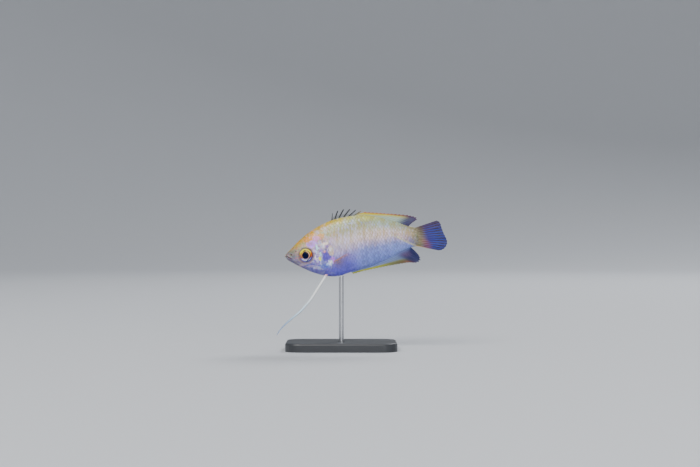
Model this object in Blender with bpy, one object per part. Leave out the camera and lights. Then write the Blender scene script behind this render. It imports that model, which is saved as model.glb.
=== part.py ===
"""A honey gourami, life size, held over a plain display stand.

The fish is laid out in its own frame, in millimetres. x runs from the tip of the snout
towards the tail, z is the height above the body's axis, and y is sideways, with the
fish's left side at negative y. An empty then tilts the fish head down and lifts it over
the stand, whose underside lies at the world's origin. Every station, outline and root
below is a size in that frame.
"""

import math

import bmesh
import bpy
import numpy as np
from mathutils import Matrix, Vector

# Overall sizes, in millimetres and degrees
MM = 0.001
STANDARD_LENGTH = 40.6
HEAD_DOWN = 8.5
GAP = 0.3

# The body at stations behind the snout: distance, height of the back, height of the
# belly, half width, height of the widest point, fullness of the back and of the belly.
# A fullness of 2 is an ellipse, less is a keel, and more is a round belly.
BODY_STATIONS = (
    (0.0, 0.67, -0.98, 0.95, -0.15, 2.0, 2.0),
    (2.0, 2.12, -2.48, 1.42, -0.25, 2.0, 2.0),
    (4.5, 4.05, -4.27, 2.05, -0.50, 2.0, 2.0),
    (7.0, 5.65, -5.83, 2.55, -0.80, 2.0, 2.1),
    (10.0, 7.18, -7.30, 3.00, -1.00, 1.9, 2.3),
    (13.0, 8.28, -8.22, 3.20, -0.90, 1.8, 2.4),
    (16.0, 9.05, -8.38, 3.25, -0.60, 1.8, 2.3),
    (19.0, 9.36, -7.83, 3.15, -0.30, 1.8, 2.0),
    (22.0, 9.42, -7.33, 2.95, -0.10, 1.8, 1.8),
    (25.0, 9.20, -6.85, 2.65, 0.00, 1.8, 1.7),
    (28.0, 8.55, -6.20, 2.30, 0.10, 1.8, 1.7),
    (32.0, 7.13, -5.05, 1.80, 0.15, 1.8, 1.7),
    (36.0, 5.43, -3.80, 1.35, 0.15, 1.9, 1.8),
    (39.0, 3.75, -2.98, 1.02, 0.10, 2.0, 2.0),
    (40.6, 3.05, -2.87, 0.88, 0.05, 2.0, 2.0),
)
NOSE_ROUND = 0.9
BODY_RINGS = 40
BODY_SIDES = 32
RING_CROWDING = 1.45

# The body's sideways curve: it bends behind the pivot, and the snout turns a little back
SWAY_PIVOT = 12.0
TAIL_SWAY = 1.8
SNOUT_SWAY = 0.25
TOTAL_LENGTH = 50.0

# The thin cuts that part the body: the slant behind the head and the start of the stalk
NAPE_CUT = (14.3, 8.7)
THROAT_CUT = (10.1, -7.6)
STALK_CUT = 34.2

# The mouth: its line from the front to the corner, and the back of the lower jaw
MOUTH_FRONT = (-0.10, 0.38)
MOUTH_CORNER = (1.85, -1.02)
JAW_BACK = (2.85, -3.30)
MOUTH_CUT_HALF = 6.0
LIP_RADIUS = 0.27
LIP_PROUD = 0.02
LIP_TAPER = 0.45
LIP_POINTS = 9
LIP_CROWDING = 1.6

# The nostrils, as distance, height and radius, with their depth, how a pit widens from
# its bottom to its rim, the way that it opens, and its sides
NOSTRILS = ((1.95, 0.30, 0.20), (3.45, 1.05, 0.17))
NOSTRIL_DEPTH = 0.35
NOSTRIL_BOTTOM = 0.5
NOSTRIL_RIM = 1.5
NOSTRIL_WAY = (-0.35, 1.0, 0.25)
NOSTRIL_SIDES = 9

# The eye: its centre, its radius seen from the side, its half thickness and its turn
EYE_CENTRE = (6.42, -0.55)
EYE_RADIUS = 2.13
EYE_HALF_THICKNESS = 1.1
EYE_SIDE = 1.72
EYE_TURN = 10.0
EYE_SEGMENTS = 22
EYE_RINGS = 12

# The gill cover's outline as distance and height, its rings, how far it stands proud in
# the middle and at its rim, its thickness, and how far its pocket is cut outwards
GILL_OUTLINE = (
    (10.3, 2.7), (12.1, 2.35), (13.6, 1.05), (14.6, -0.8), (14.85, -2.9), (14.2, -4.8),
    (12.6, -6.0), (10.4, -6.2), (8.5, -5.5), (9.0, -3.6), (9.6, -1.4), (9.8, 0.8),
)
GILL_POINTS = 34
GILL_RINGS = (1.0, 0.93, 0.66, 0.33)
GILL_PROUD = 0.22
GILL_RIM = 0.3
GILL_FADE = 0.7
GILL_THICKNESS = 0.55
POCKET_OUTWARDS = 2.0

# The dorsal fin: six raised spines at the front, eleven folded ones, seven soft rays
RAISED_SPINE_ROOTS = (15.45, 16.4, 17.55, 18.9, 20.35, 21.8)
RAISED_SPINE_TIPS = (
    (16.2, 10.95), (17.95, 11.5), (19.8, 11.7), (21.7, 11.45), (23.5, 10.95), (25.0, 10.35),
)
DORSAL_FOLDED_SPINES = 11
DORSAL_SOFT_RAYS = 7
DORSAL_FOLDED_ROOTS = (22.95, 33.6)
DORSAL_SOFT_ROOTS = (34.4, 38.5)
DORSAL_FOLDED_EDGE = ((26.4, 9.82), (30.5, 8.95), (37.8, 7.36))
DORSAL_SOFT_EDGE = ((39.0, 7.05), (41.1, 6.25), (42.0, 5.5), (41.2, 5.0), (40.0, 4.45))
DORSAL_RAISED_NOTCH = 0.5
DORSAL_NOTCH = 0.05
DORSAL_ROWS = 5

# The anal fin: seventeen short spines and eleven soft rays
ANAL_SPINES = 17
ANAL_SOFT_RAYS = 11
ANAL_SPINE_ROOTS = (19.0, 31.6)
ANAL_SOFT_ROOTS = (32.3, 38.3)
ANAL_SPINE_EDGE = ((19.9, -8.12), (25.1, -7.85), (30.0, -7.6), (35.3, -7.52))
ANAL_SOFT_EDGE = (
    (36.3, -7.5), (37.8, -7.6), (39.2, -7.98), (40.4, -7.8), (41.03, -7.0), (40.7, -5.7),
    (39.75, -4.35),
)
ANAL_LEAST_REACH = 0.25
ANAL_NOTCH = 0.06
ANAL_ROWS = 4

# The tail fin: fourteen rays from the end of the stalk to the rear margin
CAUDAL_RAYS = 14
CAUDAL_ROOT_HALF = 2.75
CAUDAL_EDGE = (
    (47.7, 4.08), (48.6, 3.35), (48.85, 1.7), (49.3, -0.3), (49.85, -2.0), (49.95, -3.2),
    (49.3, -4.35), (48.2, -5.1), (46.9, -5.15),
)
CAUDAL_BOW = 0.25
CAUDAL_FLESH = 0.95
CAUDAL_NOTCH = 0.03
CAUDAL_ROWS = 8

# The pectoral fins: where they root, how they point, their ten rays, the splay from the
# flank, the cup along and across the fin, and how far the root starts inside the flank
PECTORAL_RAYS = 10
PECTORAL_ROOT = (14.95, -4.4)
PECTORAL_ROOT_WIDTH = 1.7
PECTORAL_ROOT_INSIDE = 0.9
PECTORAL_ROOT_HALF = 0.5
PECTORAL_FAN = (22.0, -34.0)
PECTORAL_RAY_SHARES = (0.0, 0.35, 0.7, 1.0)
PECTORAL_RAY_LENGTHS = (5.4, 7.4, 6.4, 4.2)
PECTORAL_SPLAY = 27.0
PECTORAL_CUP_ALONG = 0.01225
PECTORAL_CUP_ACROSS = 0.035
PECTORAL_NOTCH = 0.04
PECTORAL_ROWS = 6

# Thickness of the fins: half the web, half the root's flesh and its least swelling, the
# ray's ridge and what it loses to the edge, and the edge's share of the thickness
WEB_HALF = 0.24
ROOT_HALF = 0.42
ROOT_LEAST_SWELLING = 0.05
FLESH_FADE = 3
RAY_RIDGE = 0.11
RIDGE_LOSS = 0.6
EDGE_SHARE = 0.7
EDGE_FADE = 4

# Half width of a ray's foot, its shares on the tail and pectoral fins and at a ray's tip,
# and the least slope between a ray and the root that its foot is spread over
RAY_FOOT = 0.13
CAUDAL_FOOT_SHARE = 0.8
PECTORAL_FOOT_SHARE = 0.6
TIP_FOOT_SHARE = 0.5
LEAST_SLOPE = 0.3

# The pelvic fins, each one long thread: root, a few points of its way, and its radii
THREAD_WAY = (
    (11.9, 1.0, -7.1), (8.7, 1.5, -10.85), (5.9, 1.95, -14.05), (3.9, 2.25, -15.85),
    (2.0, 2.5, -17.35), (-2.1, 2.8, -19.9), (-4.9, 2.75, -22.0), (-6.0, 2.6, -23.4),
)
THREAD_POINTS = 30
THREAD_RADII = (0.31, 0.29, 0.27, 0.25, 0.12)
TUBE_ROUNDING = 2

# The stand: a flat base, one rod, and the height of the snout over the floor
BASE_LENGTH = 34.0
BASE_WIDTH = 21.0
BASE_HEIGHT = 2.6
BASE_CORNER = 4.5
BASE_CORNER_STEPS = 8
BASE_EDGE = 0.5
BASE_EDGE_STEPS = 2
ROD_RADIUS = 0.75
ROD_SIDES = 24
ROD_SUNK = 1.4
SNOUT_BACK = 17.2
SNOUT_HEIGHT = 28.6

SIDES = (("left", -1), ("right", 1))

# The angle above which an edge of the fish is kept sharp
SHARP_ANGLE = 40.0

# Colour, roughness and metallic value of each finish
FINISHES = {
    "skin": ((0.74, 0.69, 0.56), 0.35, 0.1),
    "head": ((0.80, 0.60, 0.34), 0.35, 0.1),
    "gill": ((0.80, 0.76, 0.78), 0.25, 0.35),
    "eye": ((0.75, 0.50, 0.10), 0.1, 0.2),
    "fin": ((0.72, 0.55, 0.28), 0.4, 0.0),
    "tail_fin": ((0.55, 0.30, 0.24), 0.4, 0.0),
    "clear_fin": ((0.80, 0.72, 0.66), 0.35, 0.0),
    "thread": ((0.86, 0.87, 0.80), 0.35, 0.0),
    "base": ((0.16, 0.16, 0.17), 0.45, 0.0),
    "rod": ((0.62, 0.62, 0.63), 0.25, 1.0),
}


def clear_scene():
    """Removes the objects that the scene starts with."""
    for obj in list(bpy.data.objects):
        bpy.data.objects.remove(obj)


def new_collection(name):
    """A collection linked to the scene."""
    made = bpy.data.collections.new(name)
    bpy.context.scene.collection.children.link(made)
    return made


def finish(name):
    """The material of that name, made once."""
    if name in bpy.data.materials:
        return bpy.data.materials[name]
    colour, roughness, metallic = FINISHES[name]
    material = bpy.data.materials.new(name)
    material.use_nodes = True
    shader = material.node_tree.nodes["Principled BSDF"]
    shader.inputs["Base Color"].default_value = (*colour, 1.0)
    shader.inputs["Roughness"].default_value = roughness
    shader.inputs["Metallic"].default_value = metallic
    return material


def add_mesh(name, collection, points, faces, material=None):
    """A mesh object from points in millimetres, with its normals turned outwards."""
    mesh = bpy.data.meshes.new(name)
    mesh.from_pydata((np.asarray(points) * MM).tolist(), [], faces)
    work = bmesh.new()
    work.from_mesh(mesh)
    bmesh.ops.recalc_face_normals(work, faces=work.faces)
    work.to_mesh(mesh)
    work.free()
    return add_object(name, collection, mesh, material)


def add_object(name, collection, mesh, material=None):
    """An object in a collection. One without a finish is a cutter and stays out of renders."""
    obj = bpy.data.objects.new(name, mesh)
    collection.objects.link(obj)
    if material:
        obj.data.materials.clear()
        obj.data.materials.append(finish(material))
    else:
        obj.hide_render = True
        obj.display_type = "WIRE"
    return obj


def evaluated_mesh(obj):
    """A new mesh of the object with its modifiers applied."""
    graph = bpy.context.evaluated_depsgraph_get()
    return bpy.data.meshes.new_from_object(obj.evaluated_get(graph))


def apply_modifiers(obj):
    """Puts the modified mesh in the object and keeps only its largest closed surface."""
    mesh = evaluated_mesh(obj)
    obj.modifiers.clear()
    obj.data = mesh
    work = bmesh.new()
    work.from_mesh(mesh)
    shells = []
    left = set(work.verts)
    while left:
        shell = set()
        edge = [left.pop()]
        while edge:
            vert = edge.pop()
            shell.add(vert)
            near = [e.other_vert(vert) for e in vert.link_edges]
            edge += [v for v in near if v in left]
            left.difference_update(near)
        shells.append(shell)
    shells.sort(key=len)
    loose = [v for shell in shells[:-1] for v in shell]
    bmesh.ops.delete(work, geom=loose, context="VERTS")
    work.to_mesh(mesh)
    work.free()


def cut(obj, *cutters):
    """Takes the cutters out of the object, and removes them."""
    for cutter in cutters:
        modifier = obj.modifiers.new("cut", "BOOLEAN")
        modifier.operation = "DIFFERENCE"
        modifier.solver = "EXACT"
        modifier.object = cutter
    apply_modifiers(obj)
    for cutter in cutters:
        bpy.data.objects.remove(cutter)


def fuse(obj, pieces):
    """Joins the pieces of a collection to the object, and removes them."""
    modifier = obj.modifiers.new("fuse", "BOOLEAN")
    modifier.operation = "UNION"
    modifier.solver = "MANIFOLD"
    modifier.operand_type = "COLLECTION"
    modifier.collection = pieces
    apply_modifiers(obj)
    for piece in list(pieces.objects):
        bpy.data.objects.remove(piece)
    bpy.data.collections.remove(pieces)


def curve_through(points, count, closed=False):
    """Points evenly spaced along a smooth curve that passes through the given ones."""
    given = np.asarray(points, float)
    if closed:
        given = np.vstack([given[-1:], given, given[:2]])
    else:
        given = np.vstack([2 * given[0] - given[1], given, 2 * given[-1] - given[-2]])
    share = np.linspace(0, 1, 40, endpoint=False)[:, None]
    stretches = []
    for a, b, c, d in zip(given, given[1:], given[2:], given[3:]):
        stretches.append(
            b
            + 0.5 * share * (c - a)
            + share**2 * (a - 2.5 * b + 2 * c - 0.5 * d)
            + share**3 * (-0.5 * a + 1.5 * b - 1.5 * c + 0.5 * d)
        )
    line = np.vstack([*stretches, given[-2:-1]])
    along = np.append(0, np.cumsum(np.linalg.norm(np.diff(line, axis=0), axis=1)))
    at = np.linspace(0, along[-1], count, endpoint=not closed)
    return np.stack([np.interp(at, along, line[:, k]) for k in range(line.shape[1])], 1)


def between(ends, count):
    """Evenly spaced numbers from the first end to the second."""
    return np.linspace(ends[0], ends[1], count)


STATIONS = np.array(BODY_STATIONS)


def station_value(x, column):
    """A column of the station table at a distance x, on a smooth cubic through it."""
    xs = STATIONS[:, 0]
    ys = STATIONS[:, column]
    slopes = np.gradient(ys, xs)
    x = np.clip(x, xs[0], xs[-1])
    i = np.clip(np.searchsorted(xs, x, side="right") - 1, 0, len(xs) - 2)
    step = xs[i + 1] - xs[i]
    t = (x - xs[i]) / step
    return (
        (1 + 2 * t) * (1 - t) ** 2 * ys[i]
        + t * (1 - t) ** 2 * step * slopes[i]
        + t**2 * (3 - 2 * t) * ys[i + 1]
        - t**2 * (1 - t) * step * slopes[i + 1]
    )


def nose_share(x):
    """From 0 at the tip of the snout to 1 where its rounding ends, as a quarter circle."""
    back_from = np.clip(1 - np.asarray(x, float) / NOSE_ROUND, 0, 1)
    return np.sqrt(1 - back_from**2)


def back(x):
    """Height of the back."""
    return station_value(x, 1) * nose_share(x)


def belly(x):
    """Height of the belly."""
    return station_value(x, 2) * nose_share(x)


def sway(x):
    """Sideways place of the body's middle plane."""
    behind = np.clip((x - SWAY_PIVOT) / (TOTAL_LENGTH - SWAY_PIVOT), 0, None)
    ahead = np.clip((SWAY_PIVOT - x) / SWAY_PIVOT, 0, None)
    return TAIL_SWAY * behind**2 + SNOUT_SWAY * ahead**2


def flank(x, z):
    """Half width of the body at a distance and a height."""
    middle = station_value(x, 4) * nose_share(x)
    up = z >= middle
    reach = np.where(up, back(x) - middle, middle - belly(x))
    fullness = np.where(up, station_value(x, 5), station_value(x, 6))
    share = np.clip(np.abs(z - middle) / np.maximum(reach, 1e-6), 0, 1)
    return station_value(x, 3) * nose_share(x) * np.sqrt(1 - share**fullness)


def section(x, grow):
    """One ring of the body: an ellipse whose upper and lower halves have their own
    height and fullness, grown outwards by a margin."""
    angle = np.arange(BODY_SIDES) * 2 * math.pi / BODY_SIDES
    middle = station_value(x, 4) * nose_share(x)
    up = np.sin(angle) >= 0
    reach = np.where(up, back(x) - middle, middle - belly(x)) + grow
    fullness = np.where(up, station_value(x, 5), station_value(x, 6))
    z = middle + np.sign(np.sin(angle)) * reach * np.abs(np.sin(angle)) ** (2 / fullness)
    y = (station_value(x, 3) * nose_share(x) + grow) * np.cos(angle)
    return y, z


def body_loft(name, collection, grow=0.0, material=None):
    """The whole body as one closed loft from the snout to the end of the stalk."""
    share = np.linspace(0, 1, BODY_RINGS)[1:]
    stations = STANDARD_LENGTH * share**RING_CROWDING
    points = [(-grow, sway(0.0), 0.0)]
    for x in stations:
        y, z = section(x, grow)
        forward = grow * (1 - nose_share(x))
        points += list(zip(np.full(BODY_SIDES, x - forward), y + sway(x), z))
    faces = [(0, 1 + (k + 1) % BODY_SIDES, 1 + k) for k in range(BODY_SIDES)]
    for ring in range(len(stations) - 1):
        first = 1 + ring * BODY_SIDES
        for k in range(BODY_SIDES):
            n = (k + 1) % BODY_SIDES
            faces.append((first + k, first + n, first + BODY_SIDES + n))
            faces.append((first + k, first + BODY_SIDES + n, first + BODY_SIDES + k))
    faces.append(tuple(range(len(points) - BODY_SIDES, len(points))))
    return add_mesh(name, collection, points, faces, material)


def halve(obj, point, direction):
    """Cuts the object with a plane, removes what lies along direction, and caps it."""
    work = bmesh.new()
    work.from_mesh(obj.data)
    geom = [*work.verts, *work.edges, *work.faces]
    bmesh.ops.bisect_plane(
        work,
        geom=geom,
        dist=1e-8,
        plane_co=Vector(point) * MM,
        plane_no=Vector(direction),
        clear_outer=True,
    )
    rim = [edge for edge in work.edges if edge.is_boundary]
    bmesh.ops.contextual_create(work, geom=rim)
    bmesh.ops.recalc_face_normals(work, faces=work.faces)
    work.to_mesh(obj.data)
    work.free()


def slant(start, end):
    """The unit normal, in x and z, of the line from start to end, on its tail side."""
    along = Vector((end[0] - start[0], end[1] - start[1])).normalized()
    return Vector((-along.y, 0.0, along.x))


def prism(name, collection, outline, half_width):
    """A closed prism across the body over an outline given as distance and height."""
    count = len(outline)
    points = [(x, side * half_width, z) for side in (-1, 1) for x, z in outline]
    faces = [tuple(range(count)), tuple(range(2 * count - 1, count - 1, -1))]
    faces += [(k, (k + 1) % count, count + (k + 1) % count, count + k) for k in range(count)]
    return add_mesh(name, collection, points, faces)


def pushed_out(outline, by):
    """A closed outline with every point moved outwards by a distance."""
    ahead = np.roll(outline, -1, axis=0) - np.roll(outline, 1, axis=0)
    normal = np.stack([ahead[:, 1], -ahead[:, 0]], 1)
    normal /= np.linalg.norm(normal, axis=1)[:, None]
    outwards = np.sign(((outline - outline.mean(0)) * normal).sum())
    return outline + by * outwards * normal


def gill_plate(name, collection, side, outline, outer, inner, material=None):
    """A curved plate over the head's side, in rings that shrink to its middle.

    Its outer face stands off the flank by outer and its inner face lies inner under it.
    A plate with a finish is the gill cover, and stands off less at its rim and towards
    its front edge. One without is the cutter of its pocket."""
    middle = outline.mean(0)
    rings = [middle + (outline - middle) * share for share in GILL_RINGS]
    flat = np.vstack([*rings, middle[None]])
    x, z = flat.T
    surface = flank(x, z)
    stand_off = np.full(len(flat), outer)
    if material:
        front = outline[:, 0].min()
        stand_off *= np.clip((x - front) / np.ptp(outline[:, 0]), 0, 1) ** GILL_FADE
        stand_off[: len(outline)] *= GILL_RIM
    out_y = side * (surface + stand_off) + sway(x)
    in_y = side * (surface - inner) + sway(x)
    points = np.vstack([np.stack([x, out_y, z], 1), np.stack([x, in_y, z], 1)])
    n = len(outline)
    total = len(flat)
    faces = []
    for layer in (0, total):
        for ring in range(len(rings) - 1):
            for k in range(n):
                a = layer + ring * n + k
                b = layer + ring * n + (k + 1) % n
                faces.append((a, b, b + n))
                faces.append((a, b + n, a + n))
        last = layer + (len(rings) - 1) * n
        faces += [(last + k, last + (k + 1) % n, layer + total - 1) for k in range(n)]
    faces += [(k, (k + 1) % n, total + (k + 1) % n, total + k) for k in range(n)]
    return add_mesh(name, collection, points, faces, material)


def ellipsoid(name, collection, side, margin, material=None):
    """The flattened eyeball, or its socket with a margin, turned along the head's side."""
    work = bmesh.new()
    bmesh.ops.create_uvsphere(
        work, u_segments=EYE_SEGMENTS, v_segments=EYE_RINGS, radius=1.0
    )
    round_side = (EYE_RADIUS + margin) * MM
    thickness = (EYE_HALF_THICKNESS + margin) * MM
    x, z = EYE_CENTRE
    place = Vector((x, side * EYE_SIDE + float(sway(x)), z)) * MM
    turn = Matrix.Rotation(math.radians(side * EYE_TURN), 4, "Z")
    upright = Matrix.Rotation(math.radians(90), 4, "X")
    size = Matrix.Diagonal((round_side, round_side, thickness, 1.0))
    work.transform(Matrix.Translation(place) @ turn @ upright @ size)
    mesh = bpy.data.meshes.new(name)
    work.to_mesh(mesh)
    work.free()
    return add_object(name, collection, mesh, material)


def nostril_pit(name, collection, side, nostril):
    """A short cone that sinks a nostril into the snout."""
    x, z, radius = nostril
    work = bmesh.new()
    bmesh.ops.create_cone(
        work,
        cap_ends=True,
        segments=NOSTRIL_SIDES,
        radius1=radius * NOSTRIL_BOTTOM * MM,
        radius2=radius * NOSTRIL_RIM * MM,
        depth=2 * NOSTRIL_DEPTH * MM,
    )
    surface = float(flank(x, z))
    place = Vector((x, side * surface + float(sway(x)), z)) * MM
    forwards, outwards, upwards = NOSTRIL_WAY
    way = Vector((forwards, side * outwards, upwards))
    work.transform(Matrix.Translation(place) @ way.to_track_quat("Z", "Y").to_matrix().to_4x4())
    mesh = bpy.data.meshes.new(name)
    work.to_mesh(mesh)
    work.free()
    return add_object(name, collection, mesh)


def tube(name, collection, way, radii, material=None):
    """A tapering tube along points in millimetres, as a welded mesh from a bevelled curve."""
    curve = bpy.data.curves.new(name, "CURVE")
    curve.dimensions = "3D"
    curve.bevel_depth = MM
    curve.bevel_resolution = TUBE_ROUNDING
    curve.use_fill_caps = True
    spline = curve.splines.new("POLY")
    spline.points.add(len(way) - 1)
    for point, place, radius in zip(spline.points, way, radii):
        point.co = (*(np.asarray(place) * MM), 1.0)
        point.radius = radius
    guide = bpy.data.objects.new(name + "_curve", curve)
    collection.objects.link(guide)
    bpy.context.view_layer.update()
    mesh = evaluated_mesh(guide)
    bpy.data.objects.remove(guide)
    work = bmesh.new()
    work.from_mesh(mesh)
    bmesh.ops.remove_doubles(work, verts=work.verts, dist=1e-7)
    bmesh.ops.recalc_face_normals(work, faces=work.faces)
    work.to_mesh(mesh)
    work.free()
    return add_object(name, collection, mesh, material)


def lip(name, collection, offset):
    """A lip round the snout: a tube on the head's surface, beside the line of the mouth."""
    share = np.linspace(0.0, 1.0, LIP_POINTS)
    start = np.array(MOUTH_FRONT)
    end = np.array(MOUTH_CORNER)
    across = np.array([end[1] - start[1], start[0] - end[0]])
    across = -offset * across / np.linalg.norm(across)
    line = start + (end - start) * share[:, None] ** LIP_CROWDING + across
    line[:, 0] = np.maximum(line[:, 0], 0.0)
    half = flank(line[:, 0], line[:, 1]) + LIP_PROUD
    half[0] = 0.0
    left = np.stack([line[:, 0], sway(line[:, 0]) - half, line[:, 1]], 1)
    right = np.stack([line[:, 0], sway(line[:, 0]) + half, line[:, 1]], 1)
    way = np.vstack([left[::-1], right[1:]])
    taper = np.concatenate([share[::-1], share[1:]])
    return tube(name, collection, way, LIP_RADIUS * (1.0 - LIP_TAPER * taper))


def ray_columns(roots, tips, notch, foot):
    """The lines of a fin from its root to its edge, four for each ray.

    A ray has its crest and a foot on each side of it, and the web between two rays has a
    line of its own that ends short of them by notch, a share of its length. Returns the
    ends of the lines and how much of a ray's ridge each carries."""
    roots = np.asarray(roots, float)
    tips = np.asarray(tips, float)
    starts = []
    ends = []
    crest = []
    for i, (root, tip) in enumerate(zip(roots, tips)):
        beside = roots[min(i + 1, len(roots) - 1)] - roots[max(i - 1, 0)]
        beside = beside / np.linalg.norm(beside)
        ray = (tip - root) / np.linalg.norm(tip - root)
        normal = np.array([ray[1], -ray[0]])
        normal = normal * np.sign(normal @ beside)
        slope = max(abs(normal @ beside), LEAST_SLOPE)
        for step in (-1, 0, 1):
            starts.append(root + step * foot / slope * beside)
            ends.append(tip + step * TIP_FOOT_SHARE * foot * normal)
            crest.append(1.0 if step == 0 else 0.0)
        if i + 1 < len(roots):
            starts.append((root + roots[i + 1]) / 2)
            far = (tip + tips[i + 1]) / 2
            ends.append(starts[-1] + (far - starts[-1]) * (1 - notch[i]))
            crest.append(0.0)
    return np.array(starts), np.array(ends), np.array(crest)


def fin_sheet(name, collection, columns, rows, place, root_half, material, bow=0.0):
    """A fin as one closed sheet, with its rays raised in its own surface.

    Each line of the fin runs from its root to its edge in equal steps. Half the
    thickness is the web's, swelling to the flesh at the root, plus the ridge on a ray.
    Both faces are split into triangles alike. place(a, b, h) gives a point of the fish
    from a place in the fin's plane and a height over it."""
    starts, ends, crest = columns
    share = np.linspace(0, 1, rows + 1)[:, None]
    flat = starts[None] + (ends - starts)[None] * share[..., None]
    flat[..., 1] += bow * np.sin(math.pi * share) * np.sign(starts[:, 1] - starts[:, 1].mean())
    flesh = (np.asarray(root_half) - WEB_HALF) * (1 - share) ** FLESH_FADE
    ridge = RAY_RIDGE * crest * (1 - RIDGE_LOSS * share)
    half = (WEB_HALF + flesh + ridge) * (1 - (1 - EDGE_SHARE) * share**EDGE_FADE)
    near = place(flat[..., 0], flat[..., 1], -half)
    far = place(flat[..., 0], flat[..., 1], half)
    wide = len(starts)
    count = wide * (rows + 1)
    points = np.vstack([near.reshape(-1, 3), far.reshape(-1, 3)])
    index = np.arange(count).reshape(rows + 1, wide)
    a, b = index[:-1, :-1].ravel(), index[:-1, 1:].ravel()
    c, d = index[1:, 1:].ravel(), index[1:, :-1].ravel()
    half_faces = np.vstack([np.stack([a, b, c], 1), np.stack([a, c, d], 1)])
    rim = np.concatenate([index[0, :-1], index[:-1, -1], index[-1, :0:-1], index[:0:-1, 0]])
    after = np.roll(rim, -1)
    faces = half_faces[:, ::-1].tolist() + (half_faces + count).tolist()
    faces += np.stack([rim, after, after + count], 1).tolist()
    faces += np.stack([rim, after + count, rim + count], 1).tolist()
    return add_mesh(name, collection, points, faces, material)


def upright_place(x, z, h):
    """A place in a fin on the body's middle plane."""
    return np.stack([x, sway(x) + h, z], -1)


def dorsal_lines():
    """Roots and tips of the dorsal fin's spines and rays, and the webs' notches."""
    folded = between(DORSAL_FOLDED_ROOTS, DORSAL_FOLDED_SPINES)
    soft = between(DORSAL_SOFT_ROOTS, DORSAL_SOFT_RAYS)
    x = np.concatenate([RAISED_SPINE_ROOTS, folded, soft])
    roots = np.stack([x, back(x) + GAP], 1)
    tips = np.vstack([
        RAISED_SPINE_TIPS,
        curve_through(DORSAL_FOLDED_EDGE, DORSAL_FOLDED_SPINES),
        curve_through(DORSAL_SOFT_EDGE, DORSAL_SOFT_RAYS),
    ])
    raised = len(RAISED_SPINE_ROOTS)
    notch = np.where(np.arange(len(x)) < raised, DORSAL_RAISED_NOTCH, DORSAL_NOTCH)
    return roots, tips, notch


def anal_lines():
    """Roots and tips of the anal fin's spines and rays, and the webs' notches."""
    spines = between(ANAL_SPINE_ROOTS, ANAL_SPINES)
    soft = between(ANAL_SOFT_ROOTS, ANAL_SOFT_RAYS)
    x = np.concatenate([spines, soft])
    roots = np.stack([x, belly(x) - GAP], 1)
    tips = np.vstack([
        curve_through(ANAL_SPINE_EDGE, ANAL_SPINES),
        curve_through(ANAL_SOFT_EDGE, ANAL_SOFT_RAYS),
    ])
    tips[:, 1] = np.minimum(tips[:, 1], roots[:, 1] - ANAL_LEAST_REACH)
    return roots, tips, np.full(len(x), ANAL_NOTCH)


def caudal_lines():
    """Roots and tips of the tail fin's rays, and the webs' notches."""
    z = between((CAUDAL_ROOT_HALF, -CAUDAL_ROOT_HALF), CAUDAL_RAYS)
    roots = np.stack([np.full(CAUDAL_RAYS, STANDARD_LENGTH + GAP), z], 1)
    tips = curve_through(CAUDAL_EDGE, CAUDAL_RAYS)
    return roots, tips, np.full(CAUDAL_RAYS, CAUDAL_NOTCH)


def set_on_body(columns, edge):
    """Puts the first points of the lines back on the body's edge."""
    starts, ends, crest = columns
    starts[:, 1] = edge(starts[:, 0])
    return starts, ends, crest


def pectoral_lines():
    """Roots and tips of a pectoral fin's rays in the fin's own plane."""
    across = between((PECTORAL_ROOT_WIDTH / 2, -PECTORAL_ROOT_WIDTH / 2), PECTORAL_RAYS)
    angle = np.radians(between(PECTORAL_FAN, PECTORAL_RAYS))
    middle = angle.mean()
    along = np.linspace(0, 1, PECTORAL_RAYS)
    length = np.interp(along, PECTORAL_RAY_SHARES, PECTORAL_RAY_LENGTHS)
    roots = np.stack([-across * math.sin(middle), across * math.cos(middle)], 1)
    tips = roots + length[:, None] * np.stack([np.cos(angle), np.sin(angle)], 1)
    inwards = PECTORAL_ROOT_INSIDE * np.array([math.cos(middle), math.sin(middle)])
    return roots - inwards, tips, np.full(PECTORAL_RAYS, PECTORAL_NOTCH)


def pectoral_place(side):
    """The way from a pectoral fin's plane to the fish: splayed from the flank and cupped."""
    x0, z0 = PECTORAL_ROOT
    y0 = side * float(flank(x0, z0)) + float(sway(x0))
    splay = math.radians(PECTORAL_SPLAY)

    def place(a, b, h):
        cup = PECTORAL_CUP_ALONG * a**2 - PECTORAL_CUP_ACROSS * b**2
        out = a * math.sin(splay) + (h - cup) * math.cos(splay)
        x = x0 + a * math.cos(splay) - (h - cup) * math.sin(splay)
        return np.stack([x, y0 + side * out, z0 + b], -1)

    return place


def make_body(fish, cutters):
    """Head, lower jaw, gill covers, eyes, trunk and tail stalk, parted by thin cuts."""
    tail_side = slant(THROAT_CUT, NAPE_CUT)
    tail_side = -tail_side if tail_side.x < 0 else tail_side
    middle = Vector((NAPE_CUT[0] + THROAT_CUT[0], 0, NAPE_CUT[1] + THROAT_CUT[1])) / 2
    head = body_loft("head", fish, material="head")
    halve(head, middle - tail_side * GAP / 2, tail_side)
    trunk = body_loft("trunk", fish, material="skin")
    halve(trunk, middle + tail_side * GAP / 2, -tail_side)
    halve(trunk, (STALK_CUT - GAP / 2, 0, 0), (1, 0, 0))
    stalk = body_loft("tail_stalk", fish, material="skin")
    halve(stalk, (STALK_CUT + GAP / 2, 0, 0), (-1, 0, 0))

    make_jaw(fish, cutters, head)
    for name, side in SIDES:
        ellipsoid("eye_" + name, fish, side, 0.0, "eye")
        socket = ellipsoid("socket", cutters, side, GAP)
        cut(head, socket)
        pits = [nostril_pit("pit", cutters, side, nostril) for nostril in NOSTRILS]
        cut(head, *pits)
        make_gill_cover(fish, cutters, name, side, (head, trunk))


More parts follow.
